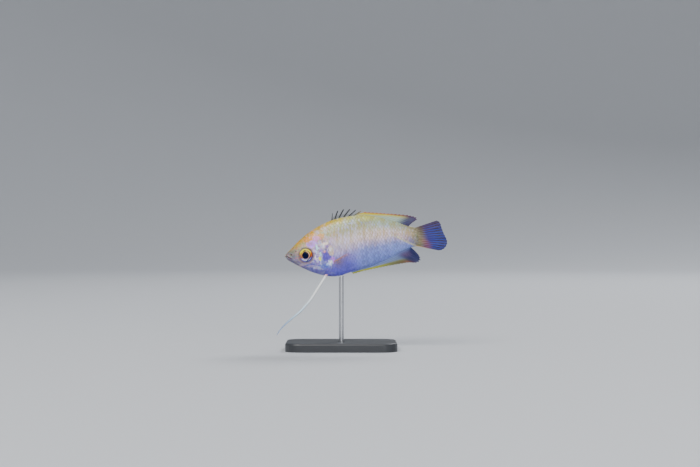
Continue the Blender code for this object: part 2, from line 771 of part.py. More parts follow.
def make_jaw(fish, cutters, head):
    """Parts the lower jaw from the head along the mouth, and gives both their lips."""
    front = np.array(MOUTH_FRONT)
    corner = np.array(MOUTH_CORNER)
    chin = np.array(JAW_BACK)
    far_front = front + (front - corner)
    under = np.array([far_front[0], chin[1] - 2])
    below_chin = chin + (chin - corner)
    outline = np.array([far_front, corner, below_chin, under])
    jaw = body_loft("lower_jaw", fish, material="head")
    rest = Vector(slant(MOUTH_FRONT, MOUTH_CORNER))
    rest = rest if rest.z > 0 else -rest
    half_gap = rest * GAP / 2
    halve(jaw, Vector((front[0], 0, front[1])) - half_gap, rest)
    behind = Vector(slant(MOUTH_CORNER, JAW_BACK))
    behind = behind if behind.x > 0 else -behind
    halve(jaw, Vector((corner[0], 0, corner[1])) - behind * GAP / 2, behind)
    grown = pushed_out(outline, GAP / 2)
    cut(head, prism("mouth", cutters, grown, MOUTH_CUT_HALF))
    set_off = GAP / 2 + LIP_RADIUS
    for obj, offset in ((head, set_off), (jaw, -set_off)):
        pieces = new_collection("lips")
        lip("lip", pieces, offset).hide_render = False
        fuse(obj, pieces)


def make_gill_cover(fish, cutters, name, side, under):
    """A gill cover, and the pocket that it lies in, cut from the head and the trunk."""
    outline = curve_through(GILL_OUTLINE, GILL_POINTS, closed=True)
    gill_plate("gill_cover_" + name, fish, side, outline, GILL_PROUD, GILL_THICKNESS, "gill")
    wide = pushed_out(outline, GAP)
    deep = GILL_THICKNESS + GAP
    for obj in under:
        cut(obj, gill_plate("pocket", cutters, side, wide, POCKET_OUTWARDS, deep))


def make_fins(fish, cutters):
    """The fins on the middle plane, the pectoral fins and the pelvic threads."""
    roots, tips, notch = dorsal_lines()
    columns = set_on_body(ray_columns(roots, tips, notch, RAY_FOOT), lambda x: back(x) + GAP)
    fin_sheet("dorsal_fin", fish, columns, DORSAL_ROWS, upright_place, ROOT_HALF, "fin")
    roots, tips, notch = anal_lines()
    columns = set_on_body(ray_columns(roots, tips, notch, RAY_FOOT), lambda x: belly(x) - GAP)
    fin_sheet("anal_fin", fish, columns, ANAL_ROWS, upright_place, ROOT_HALF, "fin")
    roots, tips, notch = caudal_lines()
    columns = ray_columns(roots, tips, notch, RAY_FOOT * CAUDAL_FOOT_SHARE)
    flesh = flank(STANDARD_LENGTH, columns[0][:, 1]) * CAUDAL_FLESH
    half = np.maximum(flesh, WEB_HALF + ROOT_LEAST_SWELLING)
    rows = CAUDAL_ROWS
    fin_sheet("caudal_fin", fish, columns, rows, upright_place, half, "tail_fin", CAUDAL_BOW)
    for name, side in SIDES:
        roots, tips, notch = pectoral_lines()
        columns = ray_columns(roots, tips, notch, RAY_FOOT * PECTORAL_FOOT_SHARE)
        place = pectoral_place(side)
        half = PECTORAL_ROOT_HALF
        rows = PECTORAL_ROWS
        fin = fin_sheet("pectoral_fin_" + name, fish, columns, rows, place, half, "clear_fin")
        cut(fin, body_loft("grown_body", cutters, GAP))
        make_thread(fish, cutters, name, side)


def make_thread(fish, cutters, name, side):
    """A pelvic fin: one long tapering thread that hangs forward from the breast."""
    way = curve_through(THREAD_WAY, THREAD_POINTS)
    way[:, 1] = side * way[:, 1] + sway(THREAD_WAY[0][0])
    share = np.linspace(0, 1, THREAD_POINTS)
    radii = np.interp(share, np.linspace(0, 1, len(THREAD_RADII)), THREAD_RADII)
    thread = tube("pelvic_thread_" + name, fish, way, radii, "thread")
    cut(thread, body_loft("grown_body", cutters, GAP))


def make_stand(stand, fish_pose, cutters):
    """The flat base and the rod, whose top is cut to the belly with the usual gap."""
    work = bmesh.new()
    bmesh.ops.create_cube(work, size=1.0)
    size = Matrix.Diagonal((BASE_LENGTH * MM, BASE_WIDTH * MM, BASE_HEIGHT * MM, 1.0))
    work.transform(Matrix.Translation((0, 0, BASE_HEIGHT * MM / 2)) @ size)
    upright = [e for e in work.edges if abs((e.verts[0].co - e.verts[1].co).z) > 1e-6]
    round_edges(work, upright, BASE_CORNER, BASE_CORNER_STEPS)
    top = [e for e in work.edges if min(v.co.z for v in e.verts) > BASE_HEIGHT * MM / 2]
    round_edges(work, top, BASE_EDGE, BASE_EDGE_STEPS)
    mesh = bpy.data.meshes.new("stand_base")
    work.to_mesh(mesh)
    work.free()
    base = add_object("stand_base", stand, mesh, "base")
    foot = BASE_HEIGHT - ROD_SUNK
    cut(base, upright_cylinder("hole", cutters, ROD_RADIUS + GAP, foot - GAP, 2 * BASE_HEIGHT))
    rod = upright_cylinder("stand_rod", stand, ROD_RADIUS, foot, SNOUT_HEIGHT, "rod")
    grown = body_loft("grown_body", cutters, GAP)
    grown.parent = fish_pose
    bpy.context.view_layer.update()
    cut(rod, grown)


def round_edges(work, edges, radius, steps):
    """Rounds edges of a mesh in work to a radius."""
    bmesh.ops.bevel(
        work, geom=edges, offset=radius * MM, segments=steps, profile=0.5, affect="EDGES"
    )


def upright_cylinder(name, collection, radius, low, high, material=None):
    """A cylinder on the world's Z axis between two heights."""
    work = bmesh.new()
    bmesh.ops.create_cone(
        work,
        cap_ends=True,
        segments=ROD_SIDES,
        radius1=radius * MM,
        radius2=radius * MM,
        depth=(high - low) * MM,
    )
    work.transform(Matrix.Translation((0, 0, (low + high) / 2 * MM)))
    mesh = bpy.data.meshes.new(name)
    work.to_mesh(mesh)
    work.free()
    return add_object(name, collection, mesh, material)


def main():
    """Builds the fish in its own frame, poses it with an empty, and adds the stand."""
    clear_scene()
    fish = new_collection("honey_gourami")
    stand = new_collection("display_stand")
    cutters = new_collection("cutters")
    make_body(fish, cutters)
    make_fins(fish, cutters)
    pose = bpy.data.objects.new("fish_pose", None)
    fish.objects.link(pose)
    pose.location = (-SNOUT_BACK * MM, 0, SNOUT_HEIGHT * MM)
    pose.rotation_euler = (0, -math.radians(HEAD_DOWN), 0)
    for obj in fish.objects:
        if obj is not pose:
            obj.parent = pose
            obj.data.shade_smooth()
            obj.data.set_sharp_from_angle(angle=math.radians(SHARP_ANGLE))
    bpy.context.view_layer.update()
    make_stand(stand, pose, cutters)


main()
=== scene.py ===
import math

import bpy
import numpy as np
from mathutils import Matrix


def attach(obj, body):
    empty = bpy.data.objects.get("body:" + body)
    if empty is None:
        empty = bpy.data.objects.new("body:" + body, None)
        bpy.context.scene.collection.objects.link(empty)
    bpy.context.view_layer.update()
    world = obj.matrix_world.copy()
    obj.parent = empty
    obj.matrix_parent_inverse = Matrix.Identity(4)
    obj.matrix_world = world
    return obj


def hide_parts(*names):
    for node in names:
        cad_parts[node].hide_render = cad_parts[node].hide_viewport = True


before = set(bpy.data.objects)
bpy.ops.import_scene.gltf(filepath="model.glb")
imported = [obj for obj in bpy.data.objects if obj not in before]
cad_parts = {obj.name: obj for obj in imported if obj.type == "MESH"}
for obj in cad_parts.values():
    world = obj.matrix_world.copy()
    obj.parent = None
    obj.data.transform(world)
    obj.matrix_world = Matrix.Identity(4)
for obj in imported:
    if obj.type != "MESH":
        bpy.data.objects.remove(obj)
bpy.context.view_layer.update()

# The camera looks level at the fish's left side, as the photograph was taken. The
# snout's pixel and the scale of the picture tie its view to the model.
MM = 0.001
PICTURE_SIZE = (700, 467)
PIXELS_PER_MM = 3.26
SNOUT_PIXEL = (285.3, 256.5)
SNOUT = np.array((-17.2, 0.0, 28.6))
LENS = 70.0
SENSOR = 36.0


def place_camera():
    """Stands the camera where the whole picture's width spans its length in millimetres:
    distance is width times lens over sensor."""
    across = (PICTURE_SIZE[0] / 2 - SNOUT_PIXEL[0]) / PIXELS_PER_MM
    up = (SNOUT_PIXEL[1] - PICTURE_SIZE[1] / 2) / PIXELS_PER_MM
    distance = PICTURE_SIZE[0] / PIXELS_PER_MM * LENS / SENSOR
    camera = bpy.data.objects.new("camera", bpy.data.cameras.new("camera"))
    camera.data.lens = LENS
    camera.data.sensor_width = SENSOR
    camera.data.clip_start = 0.01
    camera.location = MM * (SNOUT + (across, -distance, up))
    camera.rotation_euler = (math.radians(90), 0, 0)
    bpy.context.scene.collection.objects.link(camera)
    bpy.context.scene.camera = camera


place_camera()

# The studio: a round pale floor that sweeps up at its rim, so that it has no edge from
# any side, with broad soft lamps above it and an even sky.
FLOOR_FLAT = 0.9
SWEEP_RADIUS = 0.9
WALL_TOP = 2.2
FLOOR_SIDES = 96
FLOOR_RINGS = 6
SWEEP_RINGS = 24
FLOOR_COLOUR = (0.55, 0.57, 0.60)
# Each lamp's place, size, power and colour
LAMPS = {
    "key": ((-0.35, -0.75, 0.85), 0.70, 13.4, (1.0, 0.98, 0.95)),
    "front": ((0.25, -0.95, 0.30), 0.50, 3.2, (0.96, 0.98, 1.0)),
    "rim": ((0.45, 0.70, 0.75), 0.40, 7.2, (0.97, 0.98, 1.0)),
}
LAMP_AIM = np.array((0.005, 0, 0.03))
SKY = ((0.88, 0.92, 1.0), 0.37)


def link_mesh(name, points, faces, material=None):
    """A smooth mesh object from an array of points and a list or array of faces."""
    mesh = bpy.data.meshes.new(name)
    mesh.from_pydata(np.asarray(points, float).reshape(-1, 3), [], [tuple(f) for f in faces])
    mesh.polygons.foreach_set("use_smooth", np.ones(len(mesh.polygons), bool))
    mesh.update()
    piece = bpy.data.objects.new(name, mesh)
    bpy.context.scene.collection.objects.link(piece)
    if material:
        mesh.materials.append(material)
    return piece


def grid_faces(rows, columns, wraps=False):
    """Quads of a grid of points in rows, whose last column may join the first."""
    index = np.arange(rows * columns).reshape(rows, columns)
    after = np.roll(index, -1, axis=1)
    if not wraps:
        index = index[:, :-1]
        after = after[:, :-1]
    quads = np.stack([index[:-1], after[:-1], after[1:], index[1:]], -1)
    return quads.reshape(-1, 4)


def new_material(name, **values):
    """A material whose Principled shader has the given plain values."""
    material = bpy.data.materials.new(name)
    material.use_nodes = True
    shader = material.node_tree.nodes["Principled BSDF"]
    for socket, value in values.items():
        shader.inputs[socket.replace("_", " ")].default_value = value
    return material


def add_node(tree, kind, settings=None, **inputs):
    """A node of a tree. Its sockets are named with _ for a space, or in_0, in_1 by
    number, and take a value or another node's output."""
    node = tree.nodes.new(kind)
    for setting, value in (settings or {}).items():
        setattr(node, setting, value)
    for name, value in inputs.items():
        name = int(name[3:]) if name.startswith("in_") else name.replace("_", " ")
        if isinstance(value, bpy.types.NodeSocket):
            tree.links.new(value, node.inputs[name])
        else:
            node.inputs[name].default_value = value
    return node


def full_turn(count):
    """Evenly spaced angles once round."""
    return np.linspace(0, 2 * math.pi, count, endpoint=False)


def make_floor():
    """A round floor: its radius runs out flat, then up a quarter circle into a wall."""
    sweep = np.linspace(0, math.pi / 2, SWEEP_RINGS + 1)[1:]
    flat = np.linspace(0.001, FLOOR_FLAT, FLOOR_RINGS)
    wall = FLOOR_FLAT + SWEEP_RADIUS
    radius = np.concatenate([flat, FLOOR_FLAT + SWEEP_RADIUS * np.sin(sweep), [wall]])[:, None]
    height = np.concatenate([0 * flat, SWEEP_RADIUS * (1 - np.cos(sweep)), [WALL_TOP]])[:, None]
    turn = full_turn(FLOOR_SIDES)
    points = np.stack([radius * np.cos(turn), radius * np.sin(turn), height + 0 * turn], -1)
    faces = grid_faces(len(radius), FLOOR_SIDES, wraps=True)[:, ::-1]
    finish = new_material("pale_floor", Base_Color=(*FLOOR_COLOUR, 1), Roughness=0.75)
    floor = link_mesh("floor", points, faces, finish)


def make_lights():
    """Round lamps that face the fish, and the sky's even light."""
    for name, (place, size, power, colour) in LAMPS.items():
        lamp = bpy.data.objects.new(name, bpy.data.lights.new(name, "AREA"))
        lamp.data.shape = "DISK"
        lamp.data.size = size
        lamp.data.energy = power
        lamp.data.color = colour
        lamp.location = place
        lamp.rotation_euler = aim_angles(LAMP_AIM - place)
        bpy.context.scene.collection.objects.link(lamp)
    world = bpy.data.worlds.new("sky")
    world.use_nodes = True
    background = world.node_tree.nodes["Background"]
    background.inputs["Color"].default_value = (*SKY[0], 1)
    background.inputs["Strength"].default_value = SKY[1]
    bpy.context.scene.world = world


def aim_angles(way):
    """Turns that point a lamp's -Z along a way: first over by its slope, then round."""
    flat = math.hypot(way[0], way[1])
    return math.atan2(flat, -way[2]), 0.0, math.atan2(-way[0], way[1])


make_floor()
make_lights()

# The fish's own frame, in millimetres: x from the snout to the tail, z up from the body's
# axis and y sideways, with the left side at negative y. The whole fish tilts head down.
TILT = math.radians(8.5)
STANDARD_LENGTH = 40.6
TOTAL_LENGTH = 50.0
SWAY_PIVOT = 12.0
TAIL_SWAY = 1.8
SNOUT_SWAY = 0.25
NOSE_ROUND = 0.9

# Distance, back, belly, half width, height of the widest point, fullness above and below
BODY_STATIONS = np.array((
    (0.0, 0.67, -0.98, 0.95, -0.15, 2.0, 2.0),
    (2.0, 2.12, -2.48, 1.42, -0.25, 2.0, 2.0),
    (4.5, 4.05, -4.27, 2.05, -0.50, 2.0, 2.0),
    (7.0, 5.65, -5.83, 2.55, -0.80, 2.0, 2.1),
    (10.0, 7.18, -7.30, 3.00, -1.00, 1.9, 2.3),
    (13.0, 8.28, -8.22, 3.20, -0.90, 1.8, 2.4),
    (16.0, 9.05, -8.38, 3.25, -0.60, 1.8, 2.3),
    (19.0, 9.36, -7.83, 3.15, -0.30, 1.8, 2.0),
    (22.0, 9.42, -7.33, 2.95, -0.10, 1.8, 1.8),
    (25.0, 9.20, -6.85, 2.65, 0.00, 1.8, 1.7),
    (28.0, 8.55, -6.20, 2.30, 0.10, 1.8, 1.7),
    (32.0, 7.13, -5.05, 1.80, 0.15, 1.8, 1.7),
    (36.0, 5.43, -3.80, 1.35, 0.15, 1.9, 1.8),
    (39.0, 3.75, -2.98, 1.02, 0.10, 2.0, 2.0),
    (40.6, 3.05, -2.87, 0.88, 0.05, 2.0, 2.0),
))


def to_world(points):
    """Fish millimetres to metres in the row's frame: x and z turn by the tilt about the
    snout, and the snout goes to its place."""
    x, y, z = np.moveaxis(np.asarray(points, float), -1, 0)
    turned = np.stack([
        x * math.cos(TILT) - z * math.sin(TILT),
        y,
        x * math.sin(TILT) + z * math.cos(TILT),
    ], -1)
    return MM * (SNOUT + turned)


def station_value(x, column):
    """A column of the stations at distance x, by a smooth cubic from each to the next."""
    xs = BODY_STATIONS[:, 0]
    ys = BODY_STATIONS[:, column]
    slopes = np.gradient(ys, xs)
    x = np.clip(x, xs[0], xs[-1])
    i = np.clip(np.searchsorted(xs, x, side="right") - 1, 0, len(xs) - 2)
    step = xs[i + 1] - xs[i]
    t = (x - xs[i]) / step
    return (
        (1 + 2 * t) * (1 - t) ** 2 * ys[i]
        + t * (1 - t) ** 2 * step * slopes[i]
        + t**2 * (3 - 2 * t) * ys[i + 1]
        - t**2 * (1 - t) * step * slopes[i + 1]
    )


def nose_share(x):
    """From 0 at the snout's tip to 1 behind its rounding, as a quarter circle."""
    return np.sqrt(1 - np.clip(1 - np.asarray(x, float) / NOSE_ROUND, 0, 1) ** 2)


def back(x):
    """Height of the back."""
    return station_value(x, 1) * nose_share(x)


def belly(x):
    """Height of the belly."""
    return station_value(x, 2) * nose_share(x)


def sway(x):
    """Sideways place of the middle plane: it bends as a square behind the pivot."""
    behind = np.clip((x - SWAY_PIVOT) / (TOTAL_LENGTH - SWAY_PIVOT), 0, None)
    ahead = np.clip((SWAY_PIVOT - x) / SWAY_PIVOT, 0, None)
    return TAIL_SWAY * behind**2 + SNOUT_SWAY * ahead**2


def flank(x, z):
    """Half width of the body at a distance and a height."""
    middle = station_value(x, 4) * nose_share(x)
    up = z >= middle
    reach = np.where(up, back(x) - middle, middle - belly(x))
    fullness = np.where(up, station_value(x, 5), station_value(x, 6))
    share = np.clip(np.abs(z - middle) / np.maximum(reach, 1e-6), 0, 1)
    return station_value(x, 3) * nose_share(x) * np.sqrt(1 - share**fullness)


def smooth(low, high, value):
    """From 0 at low to 1 at high, with a level start and end."""
    t = np.clip((value - low) / (high - low), 0, 1)
    return t * t * (3 - 2 * t)


def curve_through(points, count, closed=False):
    """Points evenly spaced along a smooth curve that passes through the given ones."""
    given = np.asarray(points, float)
    if closed:
        given = np.vstack([given[-1:], given, given[:2]])
    else:
        given = np.vstack([2 * given[0] - given[1], given, 2 * given[-1] - given[-2]])
    a, b, c, d = given[:-3, None], given[1:-2, None], given[2:-1, None], given[3:, None]
    t = np.linspace(0, 1, 40, endpoint=False)[:, None]
    line = (
        b
        + 0.5 * t * (c - a)
        + t**2 * (a - 2.5 * b + 2 * c - 0.5 * d)
        + t**3 * (-0.5 * a + 1.5 * b - 1.5 * c + 0.5 * d)
    )
    line = np.vstack([line.reshape(-1, given.shape[1]), given[-2:-1]])
    along = np.append(0, np.cumsum(np.linalg.norm(np.diff(line, axis=0), axis=1)))
    at = np.linspace(0, along[-1], count, endpoint=not closed)
    return np.stack([np.interp(at, along, line[:, k]) for k in range(line.shape[1])], 1)


def add_attribute(piece, name, values):
    """Stores three numbers for each vertex of a piece under a name."""
    attribute = piece.data.attributes.new(name, "FLOAT_VECTOR", "POINT")
    attribute.data.foreach_set("vector", np.asarray(values, np.float32).ravel())


# The skin: one smooth surface from the lips to the base of the tail fin. It carries the
# mouth and lips, the nostrils, the rim of each eye and the edge of each gill cover.
SKIN_DEPTH = 0.13
SKIN_SIDES = 288
SIDE_CROWDING = 0.35
SKIN_HEAD_STEP = 0.088
SKIN_BODY_STEP = 0.3
HEAD_END = 16.0
STALK_ROUND = 0.9

MOUTH_FRONT = np.array((-0.10, 0.38))
MOUTH_CORNER = np.array((1.85, -1.02))
NOSTRILS = ((1.93, 0.18, 0.19), (3.45, 1.05, 0.14))
EYE_CENTRE = (6.42, -0.55)
EYE_RADIUS = 2.13
GILL_OUTLINE = (
    (10.3, 2.7), (12.1, 2.35), (13.6, 1.05), (14.6, -0.8), (14.85, -2.9), (14.2, -4.8),
    (12.6, -6.0), (10.4, -6.2), (8.5, -5.5), (9.0, -3.6), (9.6, -1.4), (9.8, 0.8),
)
GILL_RISE = 0.2
CHEEK_CENTRE = (6.2, -1.0)
CHEEK_RADIUS = 3.9
# How much of its light the ground colour keeps, so that the marks stand out on it
GROUND_LIGHT = 0.87
# Single marks on the head: centre, radii, strength and colour. The white and palest ones on the gill
# cover are partly its own silvery colour and partly painted glints.
HEAD_MARKS = (
    ((7.7, 4.1), (1.5, 0.9), 0.75, (240, 150, 36)),
    ((11.6, 4.5), (1.2, 0.9), 0.6, (240, 158, 84)),
    ((9.4, 5.0), (1.1, 0.7), 0.5, (238, 152, 88)),
    ((10.2, 4.1), (1.2, 0.8), 0.7, (222, 136, 226)),
    ((8.7, 2.5), (1.8, 1.0), 0.95, (200, 142, 255)),
    ((12.7, -1.7), (1.4, 1.7), 0.9, (76, 48, 184)),
    ((11.4, -3.2), (0.7, 1.0), 0.6, (70, 80, 190)),
    ((11.6, -4.7), (1.7, 0.8), 0.65, (74, 104, 206)),
    ((12.8, 0.5), (0.5, 0.5), 0.6, (110, 66, 100)),
    ((10.05, 1.45), (0.42, 1.0), 1.0, (200, 244, 255)),
    ((9.2, -1.7), (0.3, 0.9), 0.8, (244, 238, 250)),
    ((9.0, 0.4), (0.5, 0.4), 0.7, (226, 206, 255)),
    ((11.6, 0.3), (0.5, 0.9), 0.6, (150, 110, 226)),
    ((10.9, -0.85), (0.42, 0.5), 1.0, (186, 244, 255)),
    ((10.5, -2.2), (0.4, 0.75), 1.0, (232, 255, 70)),
    ((12.0, 1.1), (0.4, 0.5), 0.7, (250, 226, 236)),
    ((12.2, -0.2), (0.5, 0.4), 0.7, (240, 150, 150)),
    ((14.2, -0.4), (0.8, 1.5), 0.7, (226, 196, 150)),
    ((14.0, 0.2), (0.4, 0.5), 0.8, (240, 240, 244)),
    ((12.8, 1.9), (1.1, 0.6), 0.9, (255, 240, 226)),
    ((14.4, -3.2), (0.6, 1.0), 0.9, (214, 130, 255)),
    ((13.5, -3.8), (0.75, 0.8), 1.0, (204, 218, 255)),
    ((13.7, -3.7), (0.3, 0.35), 1.0, (255, 255, 255)),
    ((12.4, -4.3), (0.5, 0.4), 0.7, (190, 226, 255)),
    ((9.1, -4.9), (1.2, 0.5), 0.6, (196, 198, 222)),
    ((7.4, -4.1), (1.6, 0.35), 0.5, (192, 168, 200)),
    ((5.0, -3.3), (1.2, 0.35), 0.5, (188, 162, 182)),
)
PORES = (
    (3.3, -1.7), (4.05, -2.95), (5.3, -3.7), (6.7, -3.9), (8.1, -3.45), (9.1, -2.45),
    (4.4, 2.3), (5.8, 2.75), (7.5, 2.85), (2.9, -2.55), (3.9, -3.65), (5.1, -4.45),
    (6.5, -5.15), (8.6, -4.6), (1.15, 0.85), (2.7, 0.5),
)


def bump_at(distance, width):
    """A bell of height 1 whose width is its distance to a height of about a third."""
    return np.exp(-((distance / width) ** 2))


def mouth_relief(x, z):
    """Two lips on both sides of the mouth's line, the groove between them, the bone that
    slants down from its corner, and the crease behind the lower jaw."""
    line = MOUTH_CORNER - MOUTH_FRONT
    length = np.hypot(*line)
    along = ((x - MOUTH_FRONT[0]) * line[0] + (z - MOUTH_FRONT[1]) * line[1]) / length**2
    off = ((x - MOUTH_FRONT[0]) * -line[1] + (z - MOUTH_FRONT[1]) * line[0]) / length
    fade = 1 - smooth(0.8, 1.12, along)
    lips = bump_at(off - 0.25, 0.17) + bump_at(off + 0.25, 0.18)
    down = 0.56 * (x - 2.3) - 0.83 * (z + 1.3)
    aside = 0.83 * (x - 2.3) + 0.56 * (z + 1.3)
    bone = 0.08 * bump_at(down, 0.75) * smooth(0.33, 0.2, np.abs(aside))
    crease = -0.07 * bump_at(aside - 0.42, 0.08) * bump_at(down - 0.35, 0.95)
    return fade * (0.15 * lips - 0.38 * bump_at(off, 0.075)) + bone + crease


def away(x, z, centre):
    """Distance from a centre, seen from the side."""
    return np.hypot(x - centre[0], z - centre[1])


def nostril_relief(x, z):
    """A pit and a low rim round each nostril."""
    total = np.zeros(np.shape(x))
    for *centre, radius in NOSTRILS:
        r = away(x, z, centre)
        total += 0.05 * bump_at(r - 2 * radius, 0.09) - 0.24 * bump_at(r, radius)
    return total


def eye_relief(x, z):
    """The socket that the eyeball fills, a low swelling round it, and a crease with
    small pores that runs under it over the cheek."""
    r = away(x, z, EYE_CENTRE)
    socket = -1.5 * (1 - smooth(1.75, 2.12, r)) + 0.04 * bump_at(r - 2.45, 0.3)
    crease = -0.045 * bump_at(r - 3.02, 0.1) * smooth(-0.4, -1.5, z)
    pores = sum(bump_at(away(x, z, pore), 0.1) for pore in PORES)
    return socket + crease - 0.09 * pores


def gill_depth(x, z):
    """How deep a place lies inside the gill cover's outline: 0 on it and 1 in its
    middle, from the outline's radius at the place's own angle."""
    outline = curve_through(GILL_OUTLINE, 120, closed=True)
    middle = outline.mean(0)
    radius = np.hypot(*(outline - middle).T)
    angle = np.arctan2(outline[:, 1] - middle[1], outline[:, 0] - middle[0])
    order = np.argsort(angle)
    reach = np.interp(
        np.arctan2(z - middle[1], x - middle[0]), angle[order], radius[order], period=2 * math.pi
    )
    return 1 - np.hypot(x - middle[0], z - middle[1]) / reach


def gill_rear(x, z):
    """From 0 at the gill cover's front, so that no step shows there, to 1 behind."""
    return smooth(8.6, 11.2, x + 0.15 * z)


def gill_plate(x, z):
    """The gill cover as a plate that stands off the body."""
    return GILL_RISE * smooth(-0.012, 0.03, gill_depth(x, z)) * gill_rear(x, z)


def gill_relief(x, z):
    """The gill cover with a groove behind its edge, the bone edge before it, and two
    folds of the throat below it."""
    depth = gill_depth(x, z)
    groove = -0.1 * bump_at(depth + 0.035, 0.025) * gill_rear(x, z)
    cheek = away(x, z, CHEEK_CENTRE) - CHEEK_RADIUS
    bone = 0.05 * smooth(0.12, -0.12, cheek) - 0.09 * bump_at(cheek, 0.1)
    bone = bone * cheek_rear(x, z) * (1 - smooth(4.5, 5.5, cheek))
    folds = bump_at(depth + 0.1, 0.02) + bump_at(depth + 0.18, 0.02)
    folds = -0.05 * folds * smooth(-5.0, -6.0, z) * smooth(12.6, 11.0, x) * smooth(6.5, 8.0, x)
    return gill_plate(x, z) + groove + bone + folds


def cheek_rear(x, z):
    """From 0 to 1 across the cheek, towards its lower rear part."""
    return smooth(-0.4, 1.2, (x - CHEEK_CENTRE[0]) - 0.45 * (z - CHEEK_CENTRE[1]))


def head_relief(x, z):
    """All that stands off or sinks into the plain body, in millimetres outwards."""
    on_head = 1 - smooth(HEAD_END - 0.6, HEAD_END, x)
    whole = mouth_relief(x, z) + nostril_relief(x, z) + eye_relief(x, z) + gill_relief(x, z)
    return whole * on_head


def skin_rings():
    """Distances of the skin's rings: close on the nose's round, even on the head, wider
    behind it, and close again on the rounded end."""
    nose = NOSE_ROUND * (1 - np.cos(np.linspace(0.06, math.pi / 2, 18)))
    head = np.arange(NOSE_ROUND + SKIN_HEAD_STEP, HEAD_END, SKIN_HEAD_STEP)
    body = np.arange(HEAD_END, STANDARD_LENGTH - SKIN_BODY_STEP / 2, SKIN_BODY_STEP)
    end = STANDARD_LENGTH + STALK_ROUND * np.sin(np.linspace(0, 1.45, 8))
    return np.concatenate([nose, head, body, end])


def skin_surface(relief):
    """The skin as a grid of rings by angles that crowd to the flanks. Each ring is an
    ellipse whose two halves have their own height and fullness. It is drawn in by the
    scales' depth, its end narrows as a quarter circle, and a relief, which gives a height
    for a distance and a height on the body, moves it along its normal."""
    x = skin_rings()[:, None]
    even = np.arange(SKIN_SIDES) * 2 * math.pi / SKIN_SIDES
    angle = even - SIDE_CROWDING / 2 * np.sin(2 * even)
    up = np.sin(angle) >= 0
    middle = station_value(x, 4) * nose_share(x)
    depth = SKIN_DEPTH * nose_share(x)
    reach = np.where(up, back(x) - middle, middle - belly(x)) - depth
    fullness = np.where(up, station_value(x, 5), station_value(x, 6))
    end = np.sqrt(1 - np.clip((x - STANDARD_LENGTH) / (STALK_ROUND + 0.01), 0, 1) ** 2)
    half = (station_value(x, 3) * nose_share(x) - depth) * end
    z = middle + np.sign(np.sin(angle)) * reach * np.abs(np.sin(angle)) ** (2 / fullness)
    y = half * np.cos(angle)
    points = np.stack([np.broadcast_to(x, z.shape), y + sway(x), z], -1)
    return points + relief(points[..., 0], points[..., 2])[..., None] * outward(points)


def outward(points):
    """Outward normals of a grid of rings, from its slopes along and round it."""
    padded = np.concatenate([points[:, -1:], points, points[:, :1]], 1)
    round_it = (padded[:, 2:] - padded[:, :-2]) / 2
    along = np.gradient(points, axis=0)
    normal = np.cross(along, round_it)
    normal /= np.maximum(np.linalg.norm(normal, axis=-1, keepdims=True), 1e-9)
    spine = points.mean(1, keepdims=True)
    return normal * np.sign(((points - spine) * normal).sum((0, 1, 2)))


def lie_of(points):
    """What the markings read at a place of the body: its distance, its share of the
    way from belly to back, and its height."""
    x, _, z = np.moveaxis(points, -1, 0)
    share = (z - belly(x)) / (back(x) - belly(x))
    return np.stack([x, np.clip(share, 0, 1), z], -1)


def capped_faces(rows, columns):
    """Faces of a grid of closed rings, with a fan to a pole at each end. The two poles
    are the points that follow the grid's own."""
    ring = np.arange(columns)
    count = rows * columns
    faces = grid_faces(rows, columns, wraps=True).tolist()
    for rim, pole in ((ring, count), (count - columns + ring[::-1], count + 1)):
        faces += np.stack([rim, np.roll(rim, 1), np.full(columns, pole)], 1).tolist()
    return faces


def make_skin():
    """The skin as one closed mesh, with a pole in the middle of each end."""
    points = np.vstack([SKIN.reshape(-1, 3), SKIN[0].mean(0), SKIN[-1].mean(0)])
    skin = link_mesh("skin", to_world(points), capped_faces(*SKIN.shape[:2]), skin_material())
    add_attribute(skin, "lie", lie_of(points))
    add_attribute(skin, "root", points)
    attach(skin, "root")
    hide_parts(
        "head", "lower_jaw", "gill_cover_left", "gill_cover_right", "trunk", "tail_stalk"
    )


def paint(red, green, blue):
    """A colour as seen on a screen, from 0 to 255, as the linear one of the shader."""
    seen = np.array((red, green, blue)) / 255
    linear = np.where(seen <= 0.04045, seen / 12.92, ((seen + 0.055) / 1.055) ** 2.4)
    return (*linear.tolist(), 1.0)


def new_group(name, inputs, outputs):
    """An empty shader group with named sockets, and its two ends."""
    group = bpy.data.node_groups.new(name, "ShaderNodeTree")
    for way, sockets in (("INPUT", inputs), ("OUTPUT", outputs)):
        for socket, kind in sockets.items():
            group.interface.new_socket(socket, in_out=way, socket_type="NodeSocket" + kind)
    start = group.nodes.new("NodeGroupInput")
    end = group.nodes.new("NodeGroupOutput")
    return group, start, end


def math_node(tree, operation, first, second=0.5, third=0.5, clamp=False):
    """The output of a Math node."""
    settings = {"operation": operation, "use_clamp": clamp}
    return add_node(tree, "ShaderNodeMath", settings, in_0=first, in_1=second, in_2=third).outputs[0]


def step_node(tree, value, low, high):
    """From 0 at low to 1 at high, smoothly. A low above high turns it round."""
    settings = {"interpolation_type": "SMOOTHSTEP"}
    node = add_node(tree, "ShaderNodeMapRange", settings, Value=value, From_Min=low, From_Max=high)
    return node.outputs["Result"]


def blend_node(tree, share, first, second):
    """A colour from the first to the second by a share."""
    settings = {"data_type": "RGBA"}
    node = add_node(tree, "ShaderNodeMix", settings, in_0=share, in_6=first, in_7=second)
    return node.outputs[2]


def spot_node(tree, x, z, centre, radii, soft=0.6):
    """A soft oval: 1 within it and 0 outside, by the distance over its radii."""
    across = math_node(tree, "DIVIDE", math_node(tree, "SUBTRACT", x, centre[0]), radii[0])
    up = math_node(tree, "DIVIDE", math_node(tree, "SUBTRACT", z, centre[1]), radii[1])
    square = math_node(tree, "MULTIPLY", across, across)
    distance = math_node(tree, "SQRT", math_node(tree, "MULTIPLY_ADD", up, up, square))
    return step_node(tree, distance, 1 + soft, 1 - soft)


